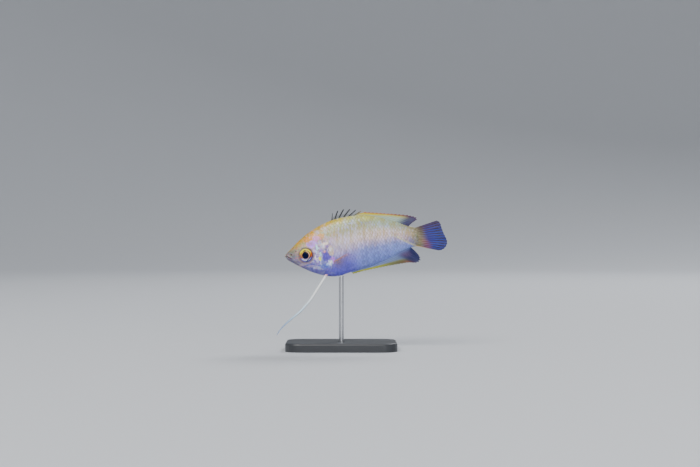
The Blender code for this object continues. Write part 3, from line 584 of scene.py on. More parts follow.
def times(tree, first, second):
    """The product of two numbers."""
    return math_node(tree, "MULTIPLY", first, second)


def line_node(tree, value, slope, start):
    """A value times a slope, plus its start."""
    return math_node(tree, "MULTIPLY_ADD", value, slope, start)


def noise_node(tree, place, scale, detail):
    """The value of a Noise texture at a place."""
    node = add_node(tree, "ShaderNodeTexNoise", Vector=place, Scale=scale, Detail=detail)
    return node.outputs["Fac"]


def vector_node(tree, **numbers):
    """A vector from its numbers X, Y and Z."""
    return add_node(tree, "ShaderNodeCombineXYZ", **numbers).outputs[0]


def vector_math(tree, operation, *given, **named):
    """The output of a Vector Math node."""
    given = {"in_" + str(k): value for k, value in enumerate(given)}
    settings = {"operation": operation}
    return add_node(tree, "ShaderNodeVectorMath", settings, **given, **named).outputs[0]


def scaled_colour(tree, colour, by):
    """A colour times a number."""
    return vector_math(tree, "SCALE", colour, Scale=by)


def stored(tree, name):
    """A vector that a piece stores under a name."""
    return add_node(tree, "ShaderNodeAttribute", {"attribute_name": name}).outputs["Vector"]


def parts_of(tree, vector):
    """The three numbers of a vector."""
    return add_node(tree, "ShaderNodeSeparateXYZ", Vector=vector).outputs[:]


def bell_node(tree, value, centre, width):
    """1 where the value is at the centre, down to 0 a width away on both sides."""
    off = math_node(tree, "ABSOLUTE", math_node(tree, "SUBTRACT", value, centre))
    return step_node(tree, off, width, 0.0)


def two_tone(tree, value, low, high, first, second):
    """The first colour where a value is low and the second where it is high."""
    return blend_node(tree, step_node(tree, value, low, high), paint(*first), paint(*second))


def mask_node(tree, values, mask):
    """A mask from 0 to 1. A name alone is that value as it is, with a low and a high it
    is a smooth step, and with "near", a centre and a width it is a bell. "spot" is a soft
    oval by its centre, radii and softness, and "torn" is one with a ragged edge."""
    if isinstance(mask, str):
        return values[mask]
    name, *rest = mask
    if name == "spot":
        return spot_node(tree, values["x"], values["z"], *rest)
    if name == "torn":
        return spot_node(tree, values["torn_x"], values["torn_z"], *rest)
    if rest[0] == "near":
        return bell_node(tree, values[name], *rest[1:])
    return step_node(tree, values[name], *rest)


def cover_all(tree, colour, values, covers):
    """Colours blended over another in turn, each where all its masks are 1. A row holds
    a colour or the name of one in the values, its strength, and its masks."""
    for shade, strength, *masks in covers:
        for mask in masks:
            strength = times(tree, mask_node(tree, values, mask), strength)
        shade = values[shade] if isinstance(shade, str) else paint(*shade)
        colour = blend_node(tree, strength, colour, shade)
    return colour


# Noises at a place of the fish: their scale for a millimetre and their detail
NOISES = {
    "fog": (0.45, 3.0), "mottle": (1.4, 2.0), "patches": (0.8, 2.0), "sparks": (1.5, 1.0),
    "tint": (0.9, 0.0), "torn": (1.3, 3.0), "freckles": (2.4, 1.0), "specks": (5.5, 2.0),
    "grain": (9.0, 3.0),
}
# Masks that two covers share
SIDE = (("x", 14.0, 17.0), ("height", 0.28, 0.45), ("height", 0.9, 0.8))
THROAT = (("height", 0.46, 0.3), ("x", 17.0, 11.0))
NAPE = (("height", 0.5, 0.62), ("spot", (11.5, 4.0), (4.5, 3.4)))
FACE = (("x", 9.0, 6.0), ("height", 0.2, 0.4))
BELLY_SHADE = (118, 118, 228)
# The ground colours of the body, from the belly up and then in patches, with painted shade and a
# painted blue reflection low on the head
GROUND_COVERS = (
    ((192, 176, 222), 1.0, ("height", 0.1, 0.42)),
    ((222, 206, 200), 1.0, ("height", 0.36, 0.62)),
    ((166, 187, 164), 1.0, ("height", 0.62, 0.84)),
    ((158, 158, 88), 0.6, ("spot", (19.0, 6.6), (7.5, 2.8))),
    ((150, 118, 214), 0.4, ("spot", (22.0, -2.3), (5.0, 1.5))),
    ((152, 176, 190), 0.5, ("spot", (36.5, 3.4), (3.5, 1.2))),
    ((230, 194, 168), 0.5, ("spot", (31.0, 0.6), (9.5, 2.6))),
    ((132, 154, 232), 0.85, ("turned", 1.0, -3.0), ("x", 17.0, 25.0)),
    ((140, 160, 232), 0.7, ("turned", 0.3, -0.6), ("x", 31.0, 36.0)),
    ((98, 90, 222), 0.8, ("spot", (15.5, -6.2), (5.5, 3.4))),
    ((134, 124, 92), 0.7, ("x", 35.5, 40.0), ("turned", -0.4, 0.4)),
    ((222, 218, 164), 0.75, ("turned", -0.5, 0.1), ("turned", 0.8, 0.2), ("x", 31.0, 35.5)),
    (
        (136, 158, 250), 0.5, ("height", 0.72, 0.78), ("height", 0.92, 0.86),
        ("mottle", 0.54, 0.64), ("x", 17.0, 21.0), ("x", 34.0, 30.0),
    ),
    ((150, 104, 84), 0.5, ("spot", (37.0, 1.0), (4.6, 2.2)), ("mottle", 0.5, 0.62)),
    ((210, 200, 255), 0.42, *SIDE, ("ribs", 0.5, 0.64)),
    ((182, 150, 84), 0.34, *SIDE, ("ribs", 0.5, 0.36)),
    # Darker and bluer low on the head: partly its own colour, partly painted shade under the jaw and a
    # painted blue reflection
    ((100, 94, 172), 0.85, ("height", 0.42, 0.1), ("x", 15.0, 9.0)),
    ((100, 106, 120), 0.9, ("x", 6.0, 2.0)),
    # The chin darker: partly its own colour, partly painted shade
    ((118, 106, 134), 0.75, ("height", 0.5, 0.14), ("x", 7.0, 3.0)),
    ((184, 172, 204), 0.45, *THROAT, ("streaks", 0.5, 0.66)),
    ((74, 62, 150), 0.45, *THROAT, ("streaks", 0.46, 0.36)),
    ("gold", 1.0, ("height", 0.88, 0.98), ("x", 34.0, 27.0)),
    ((216, 170, 16), 0.95, ("height", 0.64, 0.92), ("x", 14.0, 8.5), ("x", 0.8, 4.5)),
    ((160, 156, 124), 0.6, ("x", 38.8, 41.0)),
    ((104, 112, 66), 0.6, ("x", 38.6, 40.4), ("mottle", 0.48, 0.6)),
)
# The head's colours: nape, gill cover with painted glints, sheen and sparkles, single marks, some of
# them painted glints, rims of the eyes, nostrils with painted shade in their pits, and freckles
HEAD_COVERS = (
    ((206, 158, 214), 0.5, *NAPE, ("patches", 0.5, 0.6)),
    ((230, 148, 72), 0.4, *NAPE, ("patches", 0.48, 0.4)),
    # The gill cover: a violet ground, then painted glints, sheen and sparkles of light over it, dark,
    # pink, cyan and white
    ((118, 96, 200), 0.6, "field"),
    ("sheen", 0.5, "glint"),
    ((76, 56, 172), 0.55, "field", ("sparks", 0.48, 0.38)),
    ((244, 196, 200), 0.4, "field", ("tint", 0.52, 0.64), ("sparks", 0.48, 0.6)),
    ((196, 236, 252), 0.4, "field", ("tint", 0.48, 0.36), ("sparks", 0.48, 0.6)),
    ((255, 252, 255), 0.55, "field", ("sparks", 0.57, 0.68)),
    # The single marks; the white and palest ones on the gill cover are partly painted glints
    *((shade, much, ("torn", centre, radii, 0.25)) for centre, radii, much, shade in HEAD_MARKS),
    ((190, 166, 104), 0.4, ("spot", EYE_CENTRE, (2.8, 2.8), 0.06)),
    ((84, 66, 104), 0.7, ("spot", EYE_CENTRE, (2.5, 2.5), 0.08)),
    # Painted shade darkens the nostrils' pits
    *(((50, 46, 50), 0.85, ("spot", pit, (1.5 * size, 1.5 * size))) for *pit, size in NOSTRILS),
    ((184, 108, 84), 0.5, *FACE, ("freckles", 0.55, 0.62)),
    ((108, 112, 60), 0.5, *FACE, ("freckles", 0.46, 0.39)),
    ((84, 66, 46), 0.42, ("height", 0.3, 0.6), ("x", 20.0, 8.0), ("specks", 0.54, 0.68)),
)


def markings_group():
    """The living colours: a pearly flank with fine upright streaks between a gold back
    and a lavender belly, an orange brow, a grey snout, a streaked throat, a head darker
    and bluer low down, partly with painted shade and a painted blue reflection, a steel
    blue field over the anal fin, a gill cover with painted glints, sheen and sparkles,
    and single marks on the head, the palest of them painted glints. The ground loses
    some light before the head's colours and painted glints go on, and hues and grain
    vary the whole."""
    group, start, end = new_group(
        "gourami_markings",
        {"Lie": "Vector", "Place": "Vector", "Root": "Vector"},
        {"Color": "Color", "Rim": "Color", "Roughness": "Float", "Glint": "Float"},
    )
    place = start.outputs["Place"]
    x, share, z = parts_of(group, start.outputs["Lie"])
    values = {name: noise_node(group, place, *noise) for name, noise in NOISES.items()}
    height = math_node(group, "ADD", share, line_node(group, values["fog"], 0.16, -0.08))
    over_line = math_node(group, "ADD", z, line_node(group, x, -0.055, 0.3))
    behind = math_node(group, "MAXIMUM", math_node(group, "SUBTRACT", x, 33.5), 0.0)
    slanted = line_node(group, z, -0.4, times(group, x, 2.7))
    ribs = vector_node(group, X=slanted, Y=times(group, share, 4.0))
    streaks = vector_node(group, X=times(group, x, 0.5), Y=times(group, share, 11.0))
    own = noise_node(group, start.outputs["Root"], 2.1, 0.0)
    painted_sparkle = line_node(group, own, 0.4, times(group, values["patches"], 0.6))
    values.update(
        x=x,
        z=z,
        height=height,
        turned=line_node(group, behind, 0.72, over_line),
        ribs=noise_node(group, ribs, 1.0, 1.0),
        streaks=noise_node(group, streaks, 1.0, 2.0),
        torn_x=math_node(group, "ADD", x, line_node(group, values["torn"], 1.4, -0.7)),
        torn_z=math_node(group, "ADD", z, line_node(group, values["patches"], 1.4, -0.7)),
        field=spot_node(group, x, z, (11.6, -1.0), (3.5, 4.1), 0.5),
        gold=two_tone(group, x, 13.0, 24.0, (218, 184, 16), (206, 210, 118)),
        # The colours of the painted glints, lilac or white by scale
        sheen=two_tone(group, own, 0.4, 0.5, (204, 164, 255), (240, 240, 255)),
    )
    # Painted glints over the gill cover, scale by scale and in patches; the same mask makes it a
    # little metallic
    values["glint"] = times(group, values["field"], step_node(group, painted_sparkle, 0.47, 0.58))
    colour = cover_all(group, paint(*BELLY_SHADE), values, GROUND_COVERS)
    colour = scaled_colour(group, colour, GROUND_LIGHT)
    colour = cover_all(group, colour, values, HEAD_COVERS)
    hues = add_node(group, "ShaderNodeTexNoise", Vector=place, Scale=1.8, Detail=2.0)
    hues = vector_math(
        group, "MULTIPLY_ADD", hues.outputs["Color"], (1.1, 1.1, 1.1), (0.46, 0.46, 0.46)
    )
    mottled = vector_math(group, "MULTIPLY", colour, hues)
    ahead = line_node(group, step_node(group, x, 18.0, 10.0), 0.6, 0.35)
    colour = blend_node(group, ahead, colour, mottled)
    results = {
        "Color": scaled_colour(group, colour, line_node(group, values["grain"], 0.26, 0.86)),
        "Rim": two_tone(group, height, 0.35, 0.7, (90, 96, 168), (172, 148, 64)),
        "Roughness": line_node(group, values["grain"], 0.16, 0.2),
        "Glint": values["glint"],
    }
    for name, result in results.items():
        group.links.new(result, end.inputs[name])
    return group


def fish_place(tree):
    """Object coordinates turned back to the fish's own millimetres."""
    coordinates = add_node(tree, "ShaderNodeTexCoord").outputs["Object"]
    turn = add_node(
        tree,
        "ShaderNodeMapping",
        {"vector_type": "TEXTURE"},
        Vector=coordinates,
        Location=tuple(MM * SNOUT),
        Rotation=(0, -TILT, 0),
        Scale=(MM, MM, MM),
    )
    return turn.outputs["Vector"]


def add_markings(tree):
    """The markings at a piece's own places. Their painted glints read the root of the
    scale, so that each scale carries its painted glint as a whole."""
    settings = {"node_tree": MARKINGS}
    lie, root = stored(tree, "lie"), stored(tree, "root")
    node = add_node(tree, "ShaderNodeGroup", settings, Lie=lie, Place=fish_place(tree), Root=root)
    return node.outputs


def bump_node(tree, strength, distance, height):
    """The normal that a height gives."""
    node = add_node(tree, "ShaderNodeBump", Strength=strength, Distance=distance, Height=height)
    return node.outputs["Normal"]


def link_shader(material, **results):
    """Links outputs to the sockets of a material's shader, named with _ for a space."""
    tree = material.node_tree
    shader = tree.nodes["Principled BSDF"]
    for socket, result in results.items():
        tree.links.new(result, shader.inputs[socket.replace("_", " ")])
    return material


def skin_material():
    """Wet living skin with a faint grain."""
    material = new_material(
        "fish_skin",
        Coat_Weight=0.2,
        Coat_Roughness=0.12,
        Subsurface_Weight=0.12,
        Subsurface_Scale=0.0012,
        Specular_IOR_Level=0.4,
    )
    tree = material.node_tree
    marks = add_markings(tree)
    place = fish_place(tree)
    fine = noise_node(tree, place, 6.0, 4.0)
    return link_shader(
        material,
        Base_Color=marks["Color"],
        Roughness=marks["Roughness"],
        Metallic=times(tree, marks["Glint"], 0.15),
        Normal=bump_node(
            tree, 0.5, 0.00012, line_node(tree, noise_node(tree, place, 1.7, 2.0), 0.8, fine)
        ),
    )


MARKINGS = markings_group()
SKIN = skin_surface(head_relief)
make_skin()

# The scales: small overlapping plates in rows that fan out from the head. They are finer
# on the cheek, the gill cover and the stalk, and the snout has none.
SCALE_STEP = 0.93
SCALE_ROW = 0.92
HEAD_FINENESS = 0.68
STALK_FINENESS = 0.7
SCALE_ROWS = 17
SCALE_RINGS = (0.0, 0.45, 0.8, 1.0)
SCALE_CORNERS = 14
# Half a scale's length and width, for a distance of 1 to the next scale and row
HALF_LENGTH = 0.9
HALF_WIDTH = 0.98
BARE_ROUND_EYE = 3.0
SCALE_THICKNESS = 0.02
SCALE_SUNK = 0.012
SCALE_SLOPE = 0.055
SCALE_DOME = 0.04
SCALE_JITTER = 0.02
SCALE_SPREAD = 0.03
ARC_STEP = 0.06
ARC_REACH = 15.0
# The map for baking: the length that it takes in and the size of a scale's patch
MAP_LENGTH = 42.0
MAP_PATCH = 0.0014


def skin_table(relief, side):
    """One side of the skin with a relief, as a table of rings by even steps of length
    round the body, counted up from the widest point, with the normals there."""
    steps = np.arange(-ARC_REACH, ARC_REACH, ARC_STEP)
    surface = skin_surface(relief)
    normals = outward(surface)
    quarter = SKIN_SIDES // 4
    start = 0 if side > 0 else 2 * quarter
    turn = (start + side * np.arange(-2 * quarter, 2 * quarter + 1)) % SKIN_SIDES
    table = []
    for ring, normal in zip(surface[:, turn], normals[:, turn]):
        lengths = np.append(0, np.cumsum(np.linalg.norm(np.diff(ring, axis=0), axis=1)))
        lengths -= lengths[2 * quarter]
        both = np.hstack([ring, normal])
        table.append([np.interp(steps, lengths, both[:, k]) for k in range(6)])
    return np.moveaxis(np.array(table), 1, 2), steps


def on_skin(table, x, arc):
    """Points and normals of the table at a distance and a length round the body,
    blended from the four nearest entries."""
    places, steps = table
    rings = skin_rings()
    row = np.clip(np.interp(x, rings, np.arange(len(rings))), 0, len(rings) - 1.001)
    column = np.clip((arc - steps[0]) / ARC_STEP, 0, len(steps) - 1.001)
    i, j = row.astype(int), column.astype(int)
    u, v = (row - i)[..., None], (column - j)[..., None]
    near = places[i, j] * (1 - v) + places[i, j + 1] * v
    far = places[i + 1, j] * (1 - v) + places[i + 1, j + 1] * v
    found = near * (1 - u) + far * u
    normal = found[..., 3:]
    return found[..., :3], normal / np.linalg.norm(normal, axis=-1, keepdims=True)


def row_height(x):
    """The distance of two rows of scales: it grows from the head to the body and draws
    in again to the stalk."""
    grown = HEAD_FINENESS + (1 - HEAD_FINENESS) * smooth(8.5, 18, x)
    return SCALE_ROW * grown * (1 - (1 - STALK_FINENESS) * smooth(18, STANDARD_LENGTH, x))


def scale_step(x):
    """The distance of two scales in a row."""
    return SCALE_STEP * (HEAD_FINENESS + (1 - HEAD_FINENESS) * smooth(8.5, 17, x))


def lattice():
    """Places of scales in rows along the body, every other row half a step on. A row
    keeps its number, and its length round the body is that number times the rows'
    height. Returns distance, length round the body, the rows' slope and the number of
    the scale's column, where a column takes in every other row."""
    fine = np.linspace(4.5, STANDARD_LENGTH + 0.9, 3000)
    count = np.cumsum(1 / scale_step(fine)) * (fine[1] - fine[0])
    rows = np.arange(-SCALE_ROWS, SCALE_ROWS + 1)
    number, row = np.meshgrid(np.arange(1, int(count[-1])), rows)
    column = (2 * number + row % 2).ravel()
    x = np.interp(column / 2, count, fine)
    row = row.ravel()
    slope = row * (row_height(x + 0.1) - row_height(x - 0.1)) / 0.2
    return x, row * row_height(x), slope, column


def scale_roots(table, side):
    """The scales of one side: distance, length round the body, half length, half width,
    slope, 1 for those that lie on the gill cover, and column. None lie round the eye,
    on the snout or in the cheek's crease."""
    x, arc, slope, column = lattice()
    place, _ = on_skin(table, x, arc)
    z = place[:, 2]
    long = HALF_LENGTH * scale_step(x)
    wide = HALF_WIDTH * row_height(x)
    reaches = [gill_depth(x + 0.8 * long, z), gill_depth(x, z + wide), gill_depth(x, z - wide)]
    on_cover = (np.min(reaches, axis=0) > 0.03) | (x + 0.15 * z < 8.8)
    off_eye = away(x, z, EYE_CENTRE) > BARE_ROUND_EYE
    scaly = x + 0.35 * np.abs(z + 0.5) > 7.9
    cheek = away(x, z, CHEEK_CENTRE) - CHEEK_RADIUS
    off_crease = (np.abs(cheek + 0.1) > 0.3) | (cheek_rear(x, z) < 0.3)
    own_side = side * (place[:, 1] - sway(x)) > -0.12
    roots = np.stack([x, arc, long, wide, slope, on_cover, column], 1)
    return roots[off_eye & scaly & off_crease & own_side]


def scale_shape():
    """A scale on a unit disc: rings of corners round its middle, drawn to a blunt point
    at the rear, with the faces of its domed top, its rim and its flat underside."""
    turn = np.arange(SCALE_CORNERS) * 2 * math.pi / SCALE_CORNERS
    rings = np.array(SCALE_RINGS[1:])[:, None]
    along = rings * np.cos(turn) * (1 + 0.1 * np.cos(turn) * (np.abs(np.sin(turn)) < 0.3))
    across = rings * np.sign(np.sin(turn)) * np.abs(np.sin(turn)) ** 0.9
    flat = np.vstack([[(0, 0)], np.stack([along, across], -1).reshape(-1, 2)])
    flat = np.vstack([flat, flat[-SCALE_CORNERS:], [(0, 0)]])
    top = np.ones(len(flat))
    top[-SCALE_CORNERS - 1:] = 0
    k = np.arange(SCALE_CORNERS)
    n = (k + 1) % SCALE_CORNERS
    faces = [np.stack([np.zeros_like(k), 1 + k, 1 + n], 1)]
    for ring in range(len(SCALE_RINGS) - 1):
        a = 1 + ring * SCALE_CORNERS + k
        b = 1 + ring * SCALE_CORNERS + n
        faces += [np.stack([a, a + SCALE_CORNERS, b + SCALE_CORNERS], 1)]
        faces += [np.stack([a, b + SCALE_CORNERS, b], 1)]
    last = len(flat) - 1
    rim = last - SCALE_CORNERS
    faces.append(np.stack([np.full_like(k, last), rim + n, rim + k], 1))
    return flat, top, np.vstack(faces)


def make_scales(name, side, seed):
    """One side's scales as a joined mesh. Each vertex lies on the skin at its root plus
    its place in the scale, and off it by a height that rises to the rear. Scales behind
    the gill cover lie on the plain body, and so they start under its edge."""
    body = skin_table(lambda x, z: np.zeros(np.shape(x)), side)
    cover = skin_table(gill_plate, side)
    roots = scale_roots(body, side)
    draw = np.random.default_rng(seed)
    vary = draw.normal(0, 1, (len(roots), 5))
    flat, top, faces = scale_shape()
    roots[:, :2] += SCALE_JITTER * vary[:, 3:]
    long = roots[:, 2:3] * (1 + SCALE_SPREAD * vary[:, :1])
    wide = roots[:, 3:4] * (1 + SCALE_SPREAD * vary[:, 1:2])
    a = long * flat[:, 0]
    b = wide * flat[:, 1] + roots[:, 4:5] * a
    at = roots[:, :1] + a, roots[:, 1:2] + b
    covered = roots[:, 5:6, None] > 0
    places, normals = (
        np.where(covered, high, low) for high, low in zip(on_skin(cover, *at), on_skin(body, *at))
    )
    rise = SCALE_SLOPE * (a + 0.8 * long) - 0.015
    dome = -SCALE_DOME * flat[:, 1] ** 2 * wide
    thick = np.where(top > 0, SCALE_THICKNESS * np.sqrt(long), 0.0) - SCALE_SUNK
    places = places + (rise + dome + thick)[..., None] * normals
    shift = np.arange(len(roots))[:, None, None] * len(flat)
    if side > 0:
        faces = faces[:, ::-1]
    piece = link_mesh(name, to_world(places), (faces[None] + shift).reshape(-1, 3), SCALE_FINISH)
    add_attribute(piece, "lie", lie_of(places))
    add_attribute(piece, "root", np.broadcast_to(places[:, :1], places.shape))
    rim = np.hypot(flat[:, 0], flat[:, 1])
    rear = np.broadcast_to(rim * smooth(-0.2, 0.7, flat[:, 0]), a.shape)
    shared = draw.normal(0, 1, 200)[roots[:, 6].astype(int)]
    tint = np.broadcast_to(0.6 * vary[:, 2:3] + 0.8 * shared[:, None], a.shape)
    add_attribute(piece, "scale", np.stack([rear, tint, 0 * tint], -1))
    add_root_map(piece, roots, flat, faces, side)
    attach(piece, "root")


def add_root_map(piece, roots, flat, faces, side):
    """The bake's own map: the skin is unrolled with its length across and the way round
    it up, and each scale is a small patch there at its root."""
    across = 0.02 + 0.96 * roots[:, :1] / MAP_LENGTH + MAP_PATCH * flat[:, 0]
    half = 0.25 + 0.5 * (side > 0)
    up = half + 0.46 * roots[:, 1:2] / (2 * ARC_REACH) + MAP_PATCH * flat[:, 1]
    corners = np.stack([across, up], -1)[:, faces].reshape(-1, 2)
    layer = piece.data.uv_layers.new(name="OFBake")
    layer.data.foreach_set("uv", corners.astype(np.float32).ravel())


def scale_material():
    """The markings on a thin clear plate, lighter or darker from column to column and
    plate to plate. Light plates get a painted pearly sheen, partly their own lustre, and
    dark ones take the rim's tint, each has a tinted rear rim, and fine growth rings run
    round it."""
    material = new_material(
        "fish_scales", Coat_Weight=0.16, Coat_Roughness=0.14, Specular_IOR_Level=0.35
    )
    tree = material.node_tree
    marks = add_markings(tree)
    rim, tint = parts_of(tree, stored(tree, "scale"))[:2]
    x, share = parts_of(tree, stored(tree, "lie"))[:2]
    edge = step_node(tree, rim, 0.62, 0.98)
    light = line_node(tree, edge, -0.07, line_node(tree, tint, 0.03, 1.05))
    colour = scaled_colour(tree, marks["Color"], light)
    # A painted pearly sheen on light plates higher up the flank, partly their own lustre
    painted_pearl_sheen = line_node(tree, step_node(tree, share, 0.35, 0.6), 0.14, 0.06)
    painted_pearl_sheen = times(tree, step_node(tree, x, 39.0, 36.0), painted_pearl_sheen)
    painted_pearl_sheen = times(tree, step_node(tree, tint, 0.1, 1.3), painted_pearl_sheen)
    colour = blend_node(tree, painted_pearl_sheen, colour, paint(196, 200, 255))
    dull = times(tree, step_node(tree, tint, -0.1, -1.3), 0.3)
    return link_shader(
        material,
        Base_Color=blend_node(tree, line_node(tree, edge, 0.32, dull), colour, marks["Rim"]),
        Roughness=line_node(tree, edge, 0.12, marks["Roughness"]),
        Metallic=line_node(tree, marks["Glint"], 0.1, 0.08),
        Normal=bump_node(tree, 0.12, 0.00003, math_node(tree, "SINE", times(tree, rim, 40.0))),
    )


SCALE_FINISH = scale_material()
make_scales("scales_left", -1, 11)
make_scales("scales_right", 1, 12)

# The eyes: a flattened ball in each socket with a blue black pupil, a gold and orange
# iris above, a lavender and white one below, and a thin fold of skin round it.
EYE_SIDE = 1.72
EYE_HALF_THICKNESS = 1.1
EYE_TURN = math.radians(10)
PUPIL_RADIUS = 1.07
EYE_RINGS = 40
EYE_SPOKES = 72
FOLD_STEPS = 120
FOLD_SIDES = 14
IRIS_SHADE = (214, 122, 44)
IRIS_COVERS = (
    ((240, 214, 50), 1.0, ("height", 0.0, 0.9)),
    ((150, 124, 130), 0.6, ("forward", 1.0, 1.7), ("up", 0.6, 0.1)),
    ((126, 128, 240), 1.0, ("height", -0.6, -1.1)),
    ((214, 78, 34), 0.7, ("radius", 1.55, 1.8), ("forward", 0.2, -1.2), ("height", -0.7, 0.2)),
    ((60, 34, 40), 0.85, ("radius", "near", 1.42, 0.22), ("forward", -0.3, -1.1)),
    ((92, 60, 40), 0.5, ("radius", "near", 1.36, 0.2)),
    ((240, 255, 80), 0.95, ("height", 0.5, 1.1), ("radius", "near", 1.82, 0.22)),
    ((240, 186, 110), 0.85, ("radius", "near", 1.17, 0.1)),
    ((250, 200, 200), 0.8, ("radius", "near", 1.24, 0.1), ("forward", 0.0, -0.8)),
    ((92, 80, 30), 0.9, ("notch", 0.75, 0.25), ("up", 0.8, 1.0), ("up", 1.85, 1.5)),
    (
        (255, 255, 255), 1.0, ("height", -0.8, -1.15), ("radius", "near", 1.52, 0.42),
        ("fibres", 0.4, 0.5),
    ),
    ((74, 62, 190), 0.85, ("height", -0.2, -0.9), ("radius", "near", 1.86, 0.2)),
    ((18, 48, 62), 0.9, ("height", -0.2, -0.9), ("slanted", "near", 1.46, 0.26)),
    ((40, 28, 60), 0.95, ("radius", 1.96, 2.08)),
)


def eye_frame(side):
    """The centre of an eye and its three directions: forward, up and out."""
    x, z = EYE_CENTRE
    centre = np.array((x, side * EYE_SIDE + float(sway(x)), z))
    out = np.array((-math.sin(EYE_TURN), side * math.cos(EYE_TURN), 0.0))
    forward = np.array((-math.cos(EYE_TURN), -side * math.sin(EYE_TURN), 0.0))
    return centre, forward, np.array((0.0, 0.0, 1.0)), out


def make_eye(name, side):
    """A closed ball of rings and spokes. Its height over the middle plane follows an
    ellipse, with the pupil's lens a little proud and a low ridge round it."""
    centre, forward, upward, out = eye_frame(side)
    turn = full_turn(EYE_SPOKES)
    latitude = np.linspace(0.02, math.pi - 0.02, EYE_RINGS + 1)[:, None]
    radius = EYE_RADIUS * np.sin(latitude) * np.ones_like(turn)
    height = EYE_HALF_THICKNESS * np.cos(latitude) * np.ones_like(turn)
    front = height > 0
    lens = 0.04 * np.sqrt(np.clip(1 - (radius / PUPIL_RADIUS) ** 2, 0, 1))
    iris = 0.03 * bump_at(radius - 1.2, 0.08) - 0.04 * bump_at(radius - 1.6, 0.25)
    height = height + np.where(front, lens + iris, 0)
    a = radius * np.cos(turn)
    b = radius * np.sin(turn)
    points = centre + a[..., None] * forward + b[..., None] * upward + height[..., None] * out
    points = np.vstack([points.reshape(-1, 3), points[0].mean(0), points[-1].mean(0)])
    faces = capped_faces(EYE_RINGS + 1, EYE_SPOKES)
    if side > 0:
        faces = [face[::-1] for face in faces]
    eye = link_mesh(name, to_world(points), faces, EYE_FINISH)
    seen = np.stack([np.where(front, radius, 3.0), a, b], -1).reshape(-1, 3)
    add_attribute(eye, "round", np.vstack([seen, (0, 0, 0), (3, 0, 0)]))
    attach(eye, "root")
    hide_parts("eye_left" if side < 0 else "eye_right")


def make_orbit(name, side):
    """The thin fold of skin round an eye: a ring whose middle line follows the flank and
    whose thickness swells and thins in three soft waves and seven low ones. Its last row
    joins its first."""
    turn = full_turn(FOLD_STEPS)[:, None]
    tube = full_turn(FOLD_SIDES)
    thick = 0.1 + 0.02 * np.sin(3 * turn + 0.8) + 0.012 * np.sin(7 * turn)
    ring = EYE_RADIUS + 0.07 + thick * np.cos(tube)
    x = EYE_CENTRE[0] + ring * np.cos(turn)
    z = EYE_CENTRE[1] + ring * np.sin(turn)
    off = flank(x, z) - SKIN_DEPTH - 0.035 + thick * np.sin(tube)
    points = np.stack([x, side * off + sway(x), z], -1)
    faces = grid_faces(FOLD_STEPS + 1, FOLD_SIDES, wraps=True) % (FOLD_STEPS * FOLD_SIDES)
    if side < 0:
        faces = faces[:, ::-1]
    fold = link_mesh(name, to_world(points), faces, bpy.data.materials["fish_skin"])
    add_attribute(fold, "lie", lie_of(points))
    add_attribute(fold, "root", points)
    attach(fold, "root")


def eye_material():
    """The iris by radius and height, with fibres that run outwards. Above it is yellow
    with a lime arc and a dark notch over the pupil. At the sides it is orange, greyer in
    front. Below it is lavender with a white ring, a violet rim and a slanted dark streak.
    A gold ring, pink at the rear, lies round the blue black pupil, and a dark rim round
    the whole, under a wet coat that thins over the pupil."""
    material = new_material("fish_eye", Coat_Roughness=0.03, Specular_IOR_Level=0.05)
    tree = material.node_tree
    place = stored(tree, "round")
    radius, forward, up = parts_of(tree, place)
    way = vector_math(tree, "NORMALIZE", vector_node(tree, X=forward, Y=up))
    spread = vector_math(tree, "SCALE", way, Scale=7.0)
    along = vector_node(tree, Z=times(tree, radius, 1.6))
    fibres = noise_node(tree, vector_math(tree, "ADD", spread, along), 1.6, 4.0)
    clouds = noise_node(tree, place, 1.4, 2.0)
    off = math_node(tree, "ADD", math_node(tree, "ABSOLUTE", forward), -0.4)
    values = {
        "radius": radius,
        "forward": forward,
        "up": up,
        "fibres": fibres,
        "height": math_node(tree, "ADD", up, line_node(tree, clouds, 0.9, -0.45)),
        "notch": line_node(tree, fibres, 0.8, off),
        "slanted": line_node(tree, up, -0.76, times(tree, forward, -0.65)),
    }
    iris = cover_all(tree, paint(*IRIS_SHADE), values, IRIS_COVERS)
    iris = scaled_colour(tree, iris, line_node(tree, fibres, 0.9, 0.4))
    pupil = step_node(tree, radius, 1.11, 1.05)
    return link_shader(
        material,
        Base_Color=blend_node(tree, pupil, iris, paint(2, 8, 44)),
        Metallic=line_node(tree, pupil, -0.2, 0.2),
        Roughness=line_node(tree, fibres, 0.3, 0.3),
        Coat_Weight=line_node(tree, pupil, -0.17, 0.2),
    )


EYE_FINISH = eye_material()
for eye_name, eye_side in (("left", -1), ("right", 1)):
    make_eye("eyeball_" + eye_name, eye_side)
    make_orbit("eye_fold_" + eye_name, eye_side)

# The fins on the middle plane: thin clear webs between jointed rays. The front of the
# dorsal fin stands up in bare spines, and the soft rays of the rear lobes fork.
RAISED_SPINE_ROOTS = (15.45, 16.4, 17.55, 18.9, 20.35, 21.8)
RAISED_SPINE_TIPS = (
    (16.2, 10.95), (17.95, 11.5), (19.8, 11.7), (21.7, 11.45), (23.5, 10.95), (25.0, 10.35),
)
DORSAL_FOLDED_SPINES = 11
DORSAL_SOFT_RAYS = 7
DORSAL_FOLDED_ROOTS = (22.95, 33.6)
DORSAL_SOFT_ROOTS = (34.4, 38.5)
DORSAL_FOLDED_EDGE = ((26.4, 9.82), (30.5, 8.95), (37.8, 7.36))
DORSAL_SOFT_EDGE = ((39.0, 7.05), (41.1, 6.25), (42.0, 5.5), (41.2, 5.0), (40.0, 4.45))
ANAL_SPINES = 17
ANAL_SOFT_RAYS = 11
ANAL_SPINE_ROOTS = (19.0, 31.6)
ANAL_SOFT_ROOTS = (32.3, 38.3)
ANAL_SPINE_EDGE = ((19.9, -8.12), (25.1, -7.85), (30.0, -7.6), (35.3, -7.52))
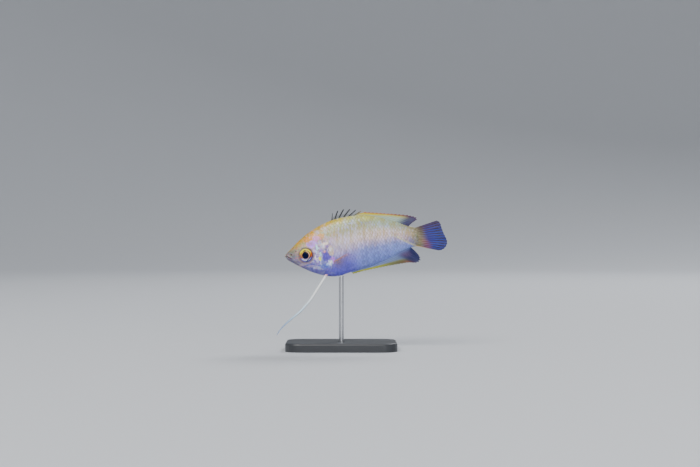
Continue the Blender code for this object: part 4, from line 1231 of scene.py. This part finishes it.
ANAL_SOFT_EDGE = (
    (36.3, -7.5), (37.8, -7.6), (39.2, -7.98), (40.4, -7.8), (41.03, -7.0), (40.7, -5.7),
    (39.75, -4.35),
)
CAUDAL_RAYS = 14
CAUDAL_ROOT_HALF = 2.75
CAUDAL_EDGE = (
    (47.7, 4.08), (48.6, 3.35), (48.85, 1.7), (49.3, -0.3), (49.85, -2.0), (49.95, -3.2),
    (49.3, -4.35), (48.2, -5.1), (46.9, -5.15),
)
WEB_HALF = 0.045
ROOT_SUNK = 0.55
COLUMNS_PER_RAY = 12
FIN_ROWS = 44
RAY_JOINTS = 17
# Colours over each fin's web and rays, by the way across it, out to its edge, the
# rays' crest and a slant
DORSAL_COVERS = (
    ((200, 186, 46), 1.0, ("across", 0.66, 0.4), ("out", 0.25, 0.65)),
    ((16, 20, 24), 1.0, ("across", 0.26, 0.2), ("out", 0.05, 0.3)),
    ("edge", 0.9, ("out", 0.76, 0.9), ("across", 0.2, 0.28)),
    ((32, 38, 94), 0.95, ("slant", 0.72, 0.92), ("out", 1.3, 0.8)),
    ((96, 34, 40), 0.5, ("slant", 0.72, 0.92), ("out", 1.3, 0.8), ("crest", 0.2, 0.8)),
)
ANAL_COVERS = (
    ((40, 40, 28), 0.85, ("out", 0.84, 0.97), ("crest", 0.1, 0.6)),
    ((98, 116, 120), 0.5, ("across", 0.3, 0.6), ("out", 0.1, 0.5)),
    ((74, 66, 40), 0.8, ("across", 0.2, 0.6), ("out", 0.45, 0.8)),
    ((14, 20, 82), 0.97, ("across", 0.62, 0.8), ("out", -0.1, 0.4)),
    ((140, 56, 34), 0.4, ("across", "near", 0.68, 0.14), ("out", 0.6, 0.95)),
    ((120, 88, 120), 0.4, ("across", "near", 0.8, 0.16), ("out", "near", 0.3, 0.35)),
)
CAUDAL_COVERS = (
    ("streaks", 0.85, ("crest", 0.15, 0.6), ("out", 0.12, 0.42)),
    ((178, 98, 60), 1.0, ("slant", "near", 0.27, 0.34), ("across", 0.42, 0.7), "between"),
    ((92, 82, 52), 0.6, ("across", 0.6, 0.3), ("out", "near", 0.26, 0.14)),
    ((92, 100, 56), 0.6, ("mottle", 0.48, 0.6), ("out", 0.34, 0.1)),
    ((206, 150, 56), 0.8, ("across", 0.95, 1.0), ("out", 0.6, 0.3)),
    ((62, 32, 50), 0.7, ("across", 0.34, 0.0), ("out", 0.0, 0.3)),
)


def fin_lines(roots, tips, notch):
    """Lines of a fin from root to edge, several between each ray and the next. Returns
    their ends, and each line's place in counts of rays. The web's edge draws back
    between two rays by the notch."""
    roots, tips = np.asarray(roots, float), np.asarray(tips, float)
    ray = np.linspace(0, len(roots) - 1, COLUMNS_PER_RAY * (len(roots) - 1) + 1)
    whole = np.arange(len(roots))
    starts = np.stack([np.interp(ray, whole, roots[:, k]) for k in (0, 1)], 1)
    ends = np.stack([np.interp(ray, whole, tips[:, k]) for k in (0, 1)], 1)
    between_rays = np.sin(math.pi * (ray % 1)) ** 2
    cut = np.interp(ray, whole, notch) * smooth(0.05, 0.6, between_rays)
    return starts, ends, ray, cut


def ridges(ray, share, spread, widths, fork_from, fork):
    """How much of a ray's ridge a place carries. A ray is a bell across the fin, and
    past fork_from it parts into two that draw away from each other."""
    apart = fork * smooth(fork_from, 1.0, share)
    nearest = np.clip(np.round(ray), 0, len(widths) - 1).astype(int)
    width = widths[nearest] * (1 - 0.35 * share) / spread
    off = np.abs(ray - nearest)
    return bump_at(off - apart, np.maximum(width, 0.06))


def fin_piece(
    name, node, lines, place, root_half, material, turned_over,
    fork=(1.1, 0.0), ray_half=0.17, widths=0.085,
):
    """A fin as one closed sheet, alike on both faces. Half its thickness is the web's,
    swelling at the root, plus the rays, which are jointed along their length. A fin
    whose rays are counted the other way round is turned over, so its faces look out."""
    starts, ends, ray, cut = lines
    share = np.linspace(0, 1, FIN_ROWS + 1)[:, None]
    flat = starts + (ends - starts) * (share * (1 - cut))[..., None]
    gaps = np.linalg.norm(np.gradient(flat, axis=1), axis=-1) * COLUMNS_PER_RAY
    count = int(ray[-1]) + 1
    widths = np.broadcast_to(widths, count)
    crest = ridges(ray, share, np.maximum(gaps, 0.15), widths, *fork)
    joints = 1 + 0.12 * np.sin(2 * math.pi * share * RAY_JOINTS)
    flesh = (np.asarray(root_half) - WEB_HALF) * (1 - share) ** 2.5
    ridge = (ray_half - WEB_HALF) * crest * joints * (1 - 0.65 * share)
    half = (WEB_HALF + flesh + ridge) * (1 - 0.55 * share**6)
    wave = 0.05 * np.sin(ray * 1.7) * share
    sheets = [place(flat[..., 0], flat[..., 1], wave + sign * half) for sign in (-1, 1)]
    rows, columns = flat.shape[:2]
    index = np.arange(rows * columns).reshape(rows, columns)
    rim = np.concatenate([index[0, :-1], index[:-1, -1], index[-1, :0:-1], index[:0:-1, 0]])
    after = np.roll(rim, -1)
    quads = grid_faces(rows, columns)
    other = rows * columns
    faces = np.vstack([
        quads[:, ::-1], quads + other, np.stack([rim, after, after + other, rim + other], 1)
    ])
    if turned_over:
        faces = faces[:, ::-1]
    piece = link_mesh(name, to_world(np.stack(sheets)), faces, material)
    values = np.stack([
        np.broadcast_to(ray / (count - 1), crest.shape),
        np.broadcast_to(share, crest.shape),
        crest,
    ], -1)
    add_attribute(piece, "fin", np.stack([values, values]))
    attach(piece, "root")
    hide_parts(node)


def upright(x, z, h):
    """A place of a fin on the body's middle plane."""
    return np.stack([x, sway(x) + h, z], -1)


def spaced(ends, count):
    """Evenly spaced numbers from the first end to the second."""
    return np.linspace(ends[0], ends[1], count)


def fin_material(name, webs, ray_shade, web_alpha, ray_alpha, turn=(0.05, 0.7)):
    """A fin's finish: the web's colour turns between two shares of the way from root to
    edge, the rays have their own, and the web is clearer towards the edge. Returns the
    material, its colour and clearness, and the numbers that covers read."""
    material = new_material(name, Roughness=0.42, Coat_Weight=0.06, Specular_IOR_Level=0.3)
    tree = material.node_tree
    across, out, crest = parts_of(tree, stored(tree, "fin"))
    web = two_tone(tree, out, *turn, *webs)
    colour = blend_node(tree, times(tree, crest, 0.75), web, paint(*ray_shade))
    near, far = web_alpha
    clear = line_node(tree, step_node(tree, out, 0.0, 0.8), far - near, near)
    alpha = math_node(tree, "MAXIMUM", clear, times(tree, crest, ray_alpha))
    values = {"across": across, "out": out, "crest": crest}
    return material, scaled_colour(tree, colour, GROUND_LIGHT), alpha, values


def dorsal_material():
    """A pale green web that turns gold outwards, with a thin orange red edge, dark front
    spines and a dusky blue lobe. Between the front spines the web is nearly bare."""
    material, colour, alpha, values = fin_material(
        "dorsal_fin_web", ((170, 192, 176), (206, 192, 70)), (152, 164, 138),
        (0.97, 0.9), 0.97, (0.45, 0.85),
    )
    tree = material.node_tree
    across = values["across"]
    values["edge"] = two_tone(tree, across, 0.4, 0.75, (176, 84, 22), (118, 30, 30))
    values["slant"] = line_node(tree, values["out"], 0.08, across)
    front = step_node(tree, across, 0.26, 0.2)
    bare = times(tree, front, step_node(tree, values["crest"], 0.5, 0.1))
    return link_shader(
        material,
        Base_Color=cover_all(tree, colour, values, DORSAL_COVERS),
        Alpha=math_node(tree, "MULTIPLY_ADD", bare, -0.75, alpha, clamp=True),
    )


def anal_material():
    """A pale blue fin with a narrow yellow edge, dark tips to its rays and a dusky rear
    lobe with red and plum in it."""
    material, colour, alpha, values = fin_material(
        "anal_fin_web", ((122, 142, 208), (182, 186, 26)), (92, 100, 120),
        (0.96, 0.92), 0.96, (0.5, 0.7),
    )
    colour = cover_all(material.node_tree, colour, values, ANAL_COVERS)
    return link_shader(material, Base_Color=colour, Alpha=alpha)


def caudal_material():
    """Dark red brown rays on a web that is olive and mottled at the root and red low down. Its outer
    blue is painted in: the blue light that shone through the clear web.
    """
    # The web's second colour, a deep blue, is painted light that shone through it
    material, colour, alpha, values = fin_material(
        "caudal_fin_web", ((166, 160, 128), (32, 58, 166)), (84, 58, 60),
        (0.98, 0.86), 1.0, (0.14, 0.46),
    )
    tree = material.node_tree
    out, crest = values["out"], values["crest"]
    values["streaks"] = two_tone(tree, out, 0.3, 0.8, (84, 34, 34), (34, 14, 28))
    values["slant"] = line_node(tree, out, -1.4, values["across"])
    values["between"] = line_node(tree, step_node(tree, crest, 0.7, 0.2), 0.3, 0.1)
    values["mottle"] = noise_node(tree, fish_place(tree), 1.4, 2.0)
    colour = cover_all(tree, colour, values, CAUDAL_COVERS)
    return link_shader(material, Base_Color=colour, Alpha=alpha)


def make_dorsal_fin():
    """Six raised spines with a notched web, then folded spines and soft rays."""
    folded = spaced(DORSAL_FOLDED_ROOTS, DORSAL_FOLDED_SPINES)
    soft = spaced(DORSAL_SOFT_ROOTS, DORSAL_SOFT_RAYS)
    x = np.concatenate([RAISED_SPINE_ROOTS, folded, soft])
    roots = np.stack([x, back(x) - ROOT_SUNK], 1)
    tips = np.vstack([
        RAISED_SPINE_TIPS,
        curve_through(DORSAL_FOLDED_EDGE, DORSAL_FOLDED_SPINES),
        curve_through(DORSAL_SOFT_EDGE, DORSAL_SOFT_RAYS),
    ])
    notch = np.where(np.arange(len(x)) < len(RAISED_SPINE_ROOTS), 0.5, 0.05)
    widths = np.where(np.arange(len(x)) < len(RAISED_SPINE_ROOTS), 0.46, 0.1)
    lines = fin_lines(roots, tips, notch)
    fin_piece("dorsal_web", "dorsal_fin", lines, upright, 0.42, dorsal_material(), True, widths=widths)


def make_anal_fin():
    """Short spines along the belly's rear half, then soft rays in a rear lobe."""
    spines = spaced(ANAL_SPINE_ROOTS, ANAL_SPINES)
    x = np.append(spines, spaced(ANAL_SOFT_ROOTS, ANAL_SOFT_RAYS))
    roots = np.stack([x, belly(x) + ROOT_SUNK], 1)
    tips = np.vstack([
        curve_through(ANAL_SPINE_EDGE, ANAL_SPINES),
        curve_through(ANAL_SOFT_EDGE, ANAL_SOFT_RAYS),
    ])
    tips[:, 1] = np.minimum(tips[:, 1], belly(x) - 0.55)
    notch = np.full(len(x), 0.06)
    lines = fin_lines(roots, tips, notch)
    fin_piece("anal_web", "anal_fin", lines, upright, 0.42, anal_material(), False)


def make_caudal_fin():
    """Fourteen forked rays that fan out from the end of the stalk."""
    z = spaced((CAUDAL_ROOT_HALF, -CAUDAL_ROOT_HALF), CAUDAL_RAYS)
    roots = np.stack([np.full(CAUDAL_RAYS, STANDARD_LENGTH - 0.4), z], 1)
    tips = curve_through(CAUDAL_EDGE, CAUDAL_RAYS)
    lines = fin_lines(roots, tips, np.full(CAUDAL_RAYS, 0.012))
    thick = np.maximum(flank(STANDARD_LENGTH, lines[0][:, 1]) * 0.85, 0.25)
    fin_piece(
        "caudal_web",
        "caudal_fin",
        lines,
        upright,
        thick,
        caudal_material(),
        True,
        fork=(0.55, 0.2),
        widths=0.15,
    )


make_dorsal_fin()
make_anal_fin()
make_caudal_fin()

# The pectoral fins: clear fans of ten rays low behind each gill cover, spread a little
# from the flank, with an orange brown leading ray.
PECTORAL_RAYS = 10
PECTORAL_ROOT = (14.95, -4.4)
PECTORAL_ROOT_WIDTH = 1.7
PECTORAL_FAN = (22.0, -34.0)
PECTORAL_RAY_LENGTHS = (5.4, 7.4, 6.4, 4.2)
PECTORAL_SPLAY = math.radians(27)
PECTORAL_CUP = 0.035


def pectoral_place(side):
    """The way from a pectoral fin's plane to the fish: splayed from the flank, cupped
    by the square of the place in the plane."""
    x0, z0 = PECTORAL_ROOT
    y0 = side * float(flank(x0, z0)) + float(sway(x0))

    def place(a, b, h):
        cup = PECTORAL_CUP * a**2 * 0.35 - PECTORAL_CUP * b**2
        out = a * math.sin(PECTORAL_SPLAY) + (h - cup) * math.cos(PECTORAL_SPLAY)
        x = x0 + a * math.cos(PECTORAL_SPLAY) - (h - cup) * math.sin(PECTORAL_SPLAY)
        return np.stack([x, y0 + side * out, z0 + b], -1)

    return place


def make_pectoral_fin(name, side):
    """Ten rays that fan out between two angles, the second ray the longest."""
    across = spaced((PECTORAL_ROOT_WIDTH / 2, -PECTORAL_ROOT_WIDTH / 2), PECTORAL_RAYS)
    angle = np.radians(spaced(PECTORAL_FAN, PECTORAL_RAYS))
    middle = angle.mean()
    length = np.interp(spaced((0, 1), PECTORAL_RAYS), (0, 0.35, 0.7, 1), PECTORAL_RAY_LENGTHS)
    roots = np.stack([-across * math.sin(middle), across * math.cos(middle)], 1)
    tips = roots + length[:, None] * np.stack([np.cos(angle), np.sin(angle)], 1)
    roots = roots - 0.35 * np.array([math.cos(middle), math.sin(middle)])
    lines = fin_lines(roots, tips, np.full(PECTORAL_RAYS, 0.04))
    fin_piece(
        name,
        "pectoral_fin_left" if side < 0 else "pectoral_fin_right",
        lines,
        pectoral_place(side),
        0.3,
        PECTORAL_FINISH,
        side > 0,
        fork=(0.5, 0.22),
        ray_half=0.11,
    )


def pectoral_material():
    """A clear web with faint rays, clearer low down, and an orange brown leading edge."""
    material, colour, alpha, values = fin_material(
        "pectoral_fin_web", ((168, 138, 116), (104, 98, 204)), (136, 116, 164), (0.55, 0.1), 0.26
    )
    tree = material.node_tree
    across = values["across"]
    lead = times(tree, step_node(tree, across, 0.24, 0.0), step_node(tree, values["out"], 1.1, 0.75))
    upper = line_node(tree, step_node(tree, across, 0.7, 0.25), 0.75, 0.25)
    alpha = times(tree, alpha, upper)
    return link_shader(
        material,
        Base_Color=blend_node(tree, times(tree, lead, 0.85), colour, paint(192, 136, 96)),
        Alpha=math_node(tree, "MULTIPLY_ADD", lead, 0.3, alpha, clamp=True),
    )


PECTORAL_FINISH = pectoral_material()
make_pectoral_fin("pectoral_web_left", -1)
make_pectoral_fin("pectoral_web_right", 1)

# The pelvic fins: each is a single long feeler that hangs forward from the breast,
# pale and jointed, and clear blue towards its tip.
THREAD_WAY = (
    (11.9, 1.0, -7.1), (8.7, 1.5, -10.85), (5.9, 1.95, -14.05), (3.9, 2.25, -15.85),
    (2.0, 2.5, -17.35), (-2.1, 2.8, -19.9), (-4.9, 2.75, -22.0), (-6.0, 2.6, -23.4),
)
THREAD_RADII = (0.38, 0.36, 0.32, 0.22, 0.05)
THREAD_RINGS = 260
THREAD_SIDES = 14
THREAD_JOINTS = 64
# The angle that the joints' faint bands of colour run through, from root to tip
BAND_ANGLE = 402.0
THREAD_COVERS = (
    ((250, 252, 250), 1.0, ("along", 0.0, 0.06)),
    ((200, 226, 246), 1.0, ("along", 0.25, 0.6)),
    ((120, 162, 222), 1.0, ("along", 0.6, 1.0)),
)


def make_thread(name, side):
    """A tapering tube: a circle carried along the way at right angles to it, with a low
    swelling at each joint."""
    way = curve_through(THREAD_WAY, THREAD_RINGS)
    way[:, 1] = side * way[:, 1] + sway(THREAD_WAY[0][0])
    share = np.linspace(0, 1, THREAD_RINGS)
    radius = np.interp(share, np.linspace(0, 1, len(THREAD_RADII)), THREAD_RADII)
    radius = radius * (1 + 0.05 * np.sin(share * 2 * math.pi * THREAD_JOINTS))
    ahead = np.gradient(way, axis=0)
    ahead /= np.linalg.norm(ahead, axis=1)[:, None]
    first = np.cross(ahead, (0.0, 1.0, 0.0))
    first /= np.linalg.norm(first, axis=1)[:, None]
    second = np.cross(ahead, first)
    turn = full_turn(THREAD_SIDES)[:, None]
    circle = first[:, None] * np.cos(turn) + second[:, None] * np.sin(turn)
    points = way[:, None] + radius[:, None, None] * circle
    points = np.vstack([points.reshape(-1, 3), way[:1], way[-1:]])
    faces = capped_faces(THREAD_RINGS, THREAD_SIDES)
    piece = link_mesh(name, to_world(points), faces, THREAD_FINISH)
    values = np.append(np.repeat(share, THREAD_SIDES), (0, 1))
    add_attribute(piece, "fin", np.stack([values] * 3, -1))
    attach(piece, "root")
    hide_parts("pelvic_thread_left" if side < 0 else "pelvic_thread_right")


def thread_material():
    """Pink at the root, then pale, then a clear blue at the tip, with faint joints."""
    material = new_material("feeler", Roughness=0.35, Coat_Weight=0.3)
    tree = material.node_tree
    along = parts_of(tree, stored(tree, "fin"))[0]
    colour = cover_all(tree, paint(236, 150, 180), {"along": along}, THREAD_COVERS)
    joints = math_node(tree, "SINE", times(tree, along, BAND_ANGLE))
    return link_shader(
        material,
        Base_Color=scaled_colour(tree, colour, line_node(tree, joints, 0.05, 0.96)),
        Alpha=line_node(tree, step_node(tree, along, 0.55, 1.0), -0.35, 1.0),
    )


THREAD_FINISH = thread_material()
make_thread("feeler_left", -1)
make_thread("feeler_right", 1)

# The stand: a dark satin base with rounded edges and one brushed steel rod. Both keep
# their own solids, and only their finish is made here.


def base_material():
    """Moulded plastic with a very fine grain and soft wear in its gloss."""
    material = new_material("stand_satin", Specular_IOR_Level=0.45)
    tree = material.node_tree
    place = add_node(tree, "ShaderNodeTexCoord").outputs["Object"]
    cloud = noise_node(tree, place, 60.0, 4.0)
    return link_shader(
        material,
        Base_Color=blend_node(tree, cloud, paint(44, 46, 50), paint(58, 60, 64)),
        Roughness=line_node(tree, cloud, 0.25, 0.28),
        Normal=bump_node(tree, 0.15, 0.00004, noise_node(tree, place, 2600.0, 2.0)),
    )


def rod_material():
    """Steel brushed round the rod: streaks that are stretched round it and fine along."""
    material = new_material("stand_steel", Metallic=1.0)
    tree = material.node_tree
    place = add_node(tree, "ShaderNodeTexCoord").outputs["Object"]
    thin = add_node(tree, "ShaderNodeMapping", Vector=place, Scale=(300.0, 300.0, 9000.0))
    streaks = noise_node(tree, thin.outputs["Vector"], 1.0, 3.0)
    return link_shader(
        material,
        Base_Color=blend_node(tree, streaks, paint(176, 178, 182), paint(206, 207, 210)),
        Roughness=line_node(tree, streaks, 0.25, 0.18),
    )


def refinish(node, material):
    """Gives a node's own solid another finish."""
    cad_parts[node].data.materials.clear()
    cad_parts[node].data.materials.append(material)


refinish("stand_base", base_material())
refinish("stand_rod", rod_material())
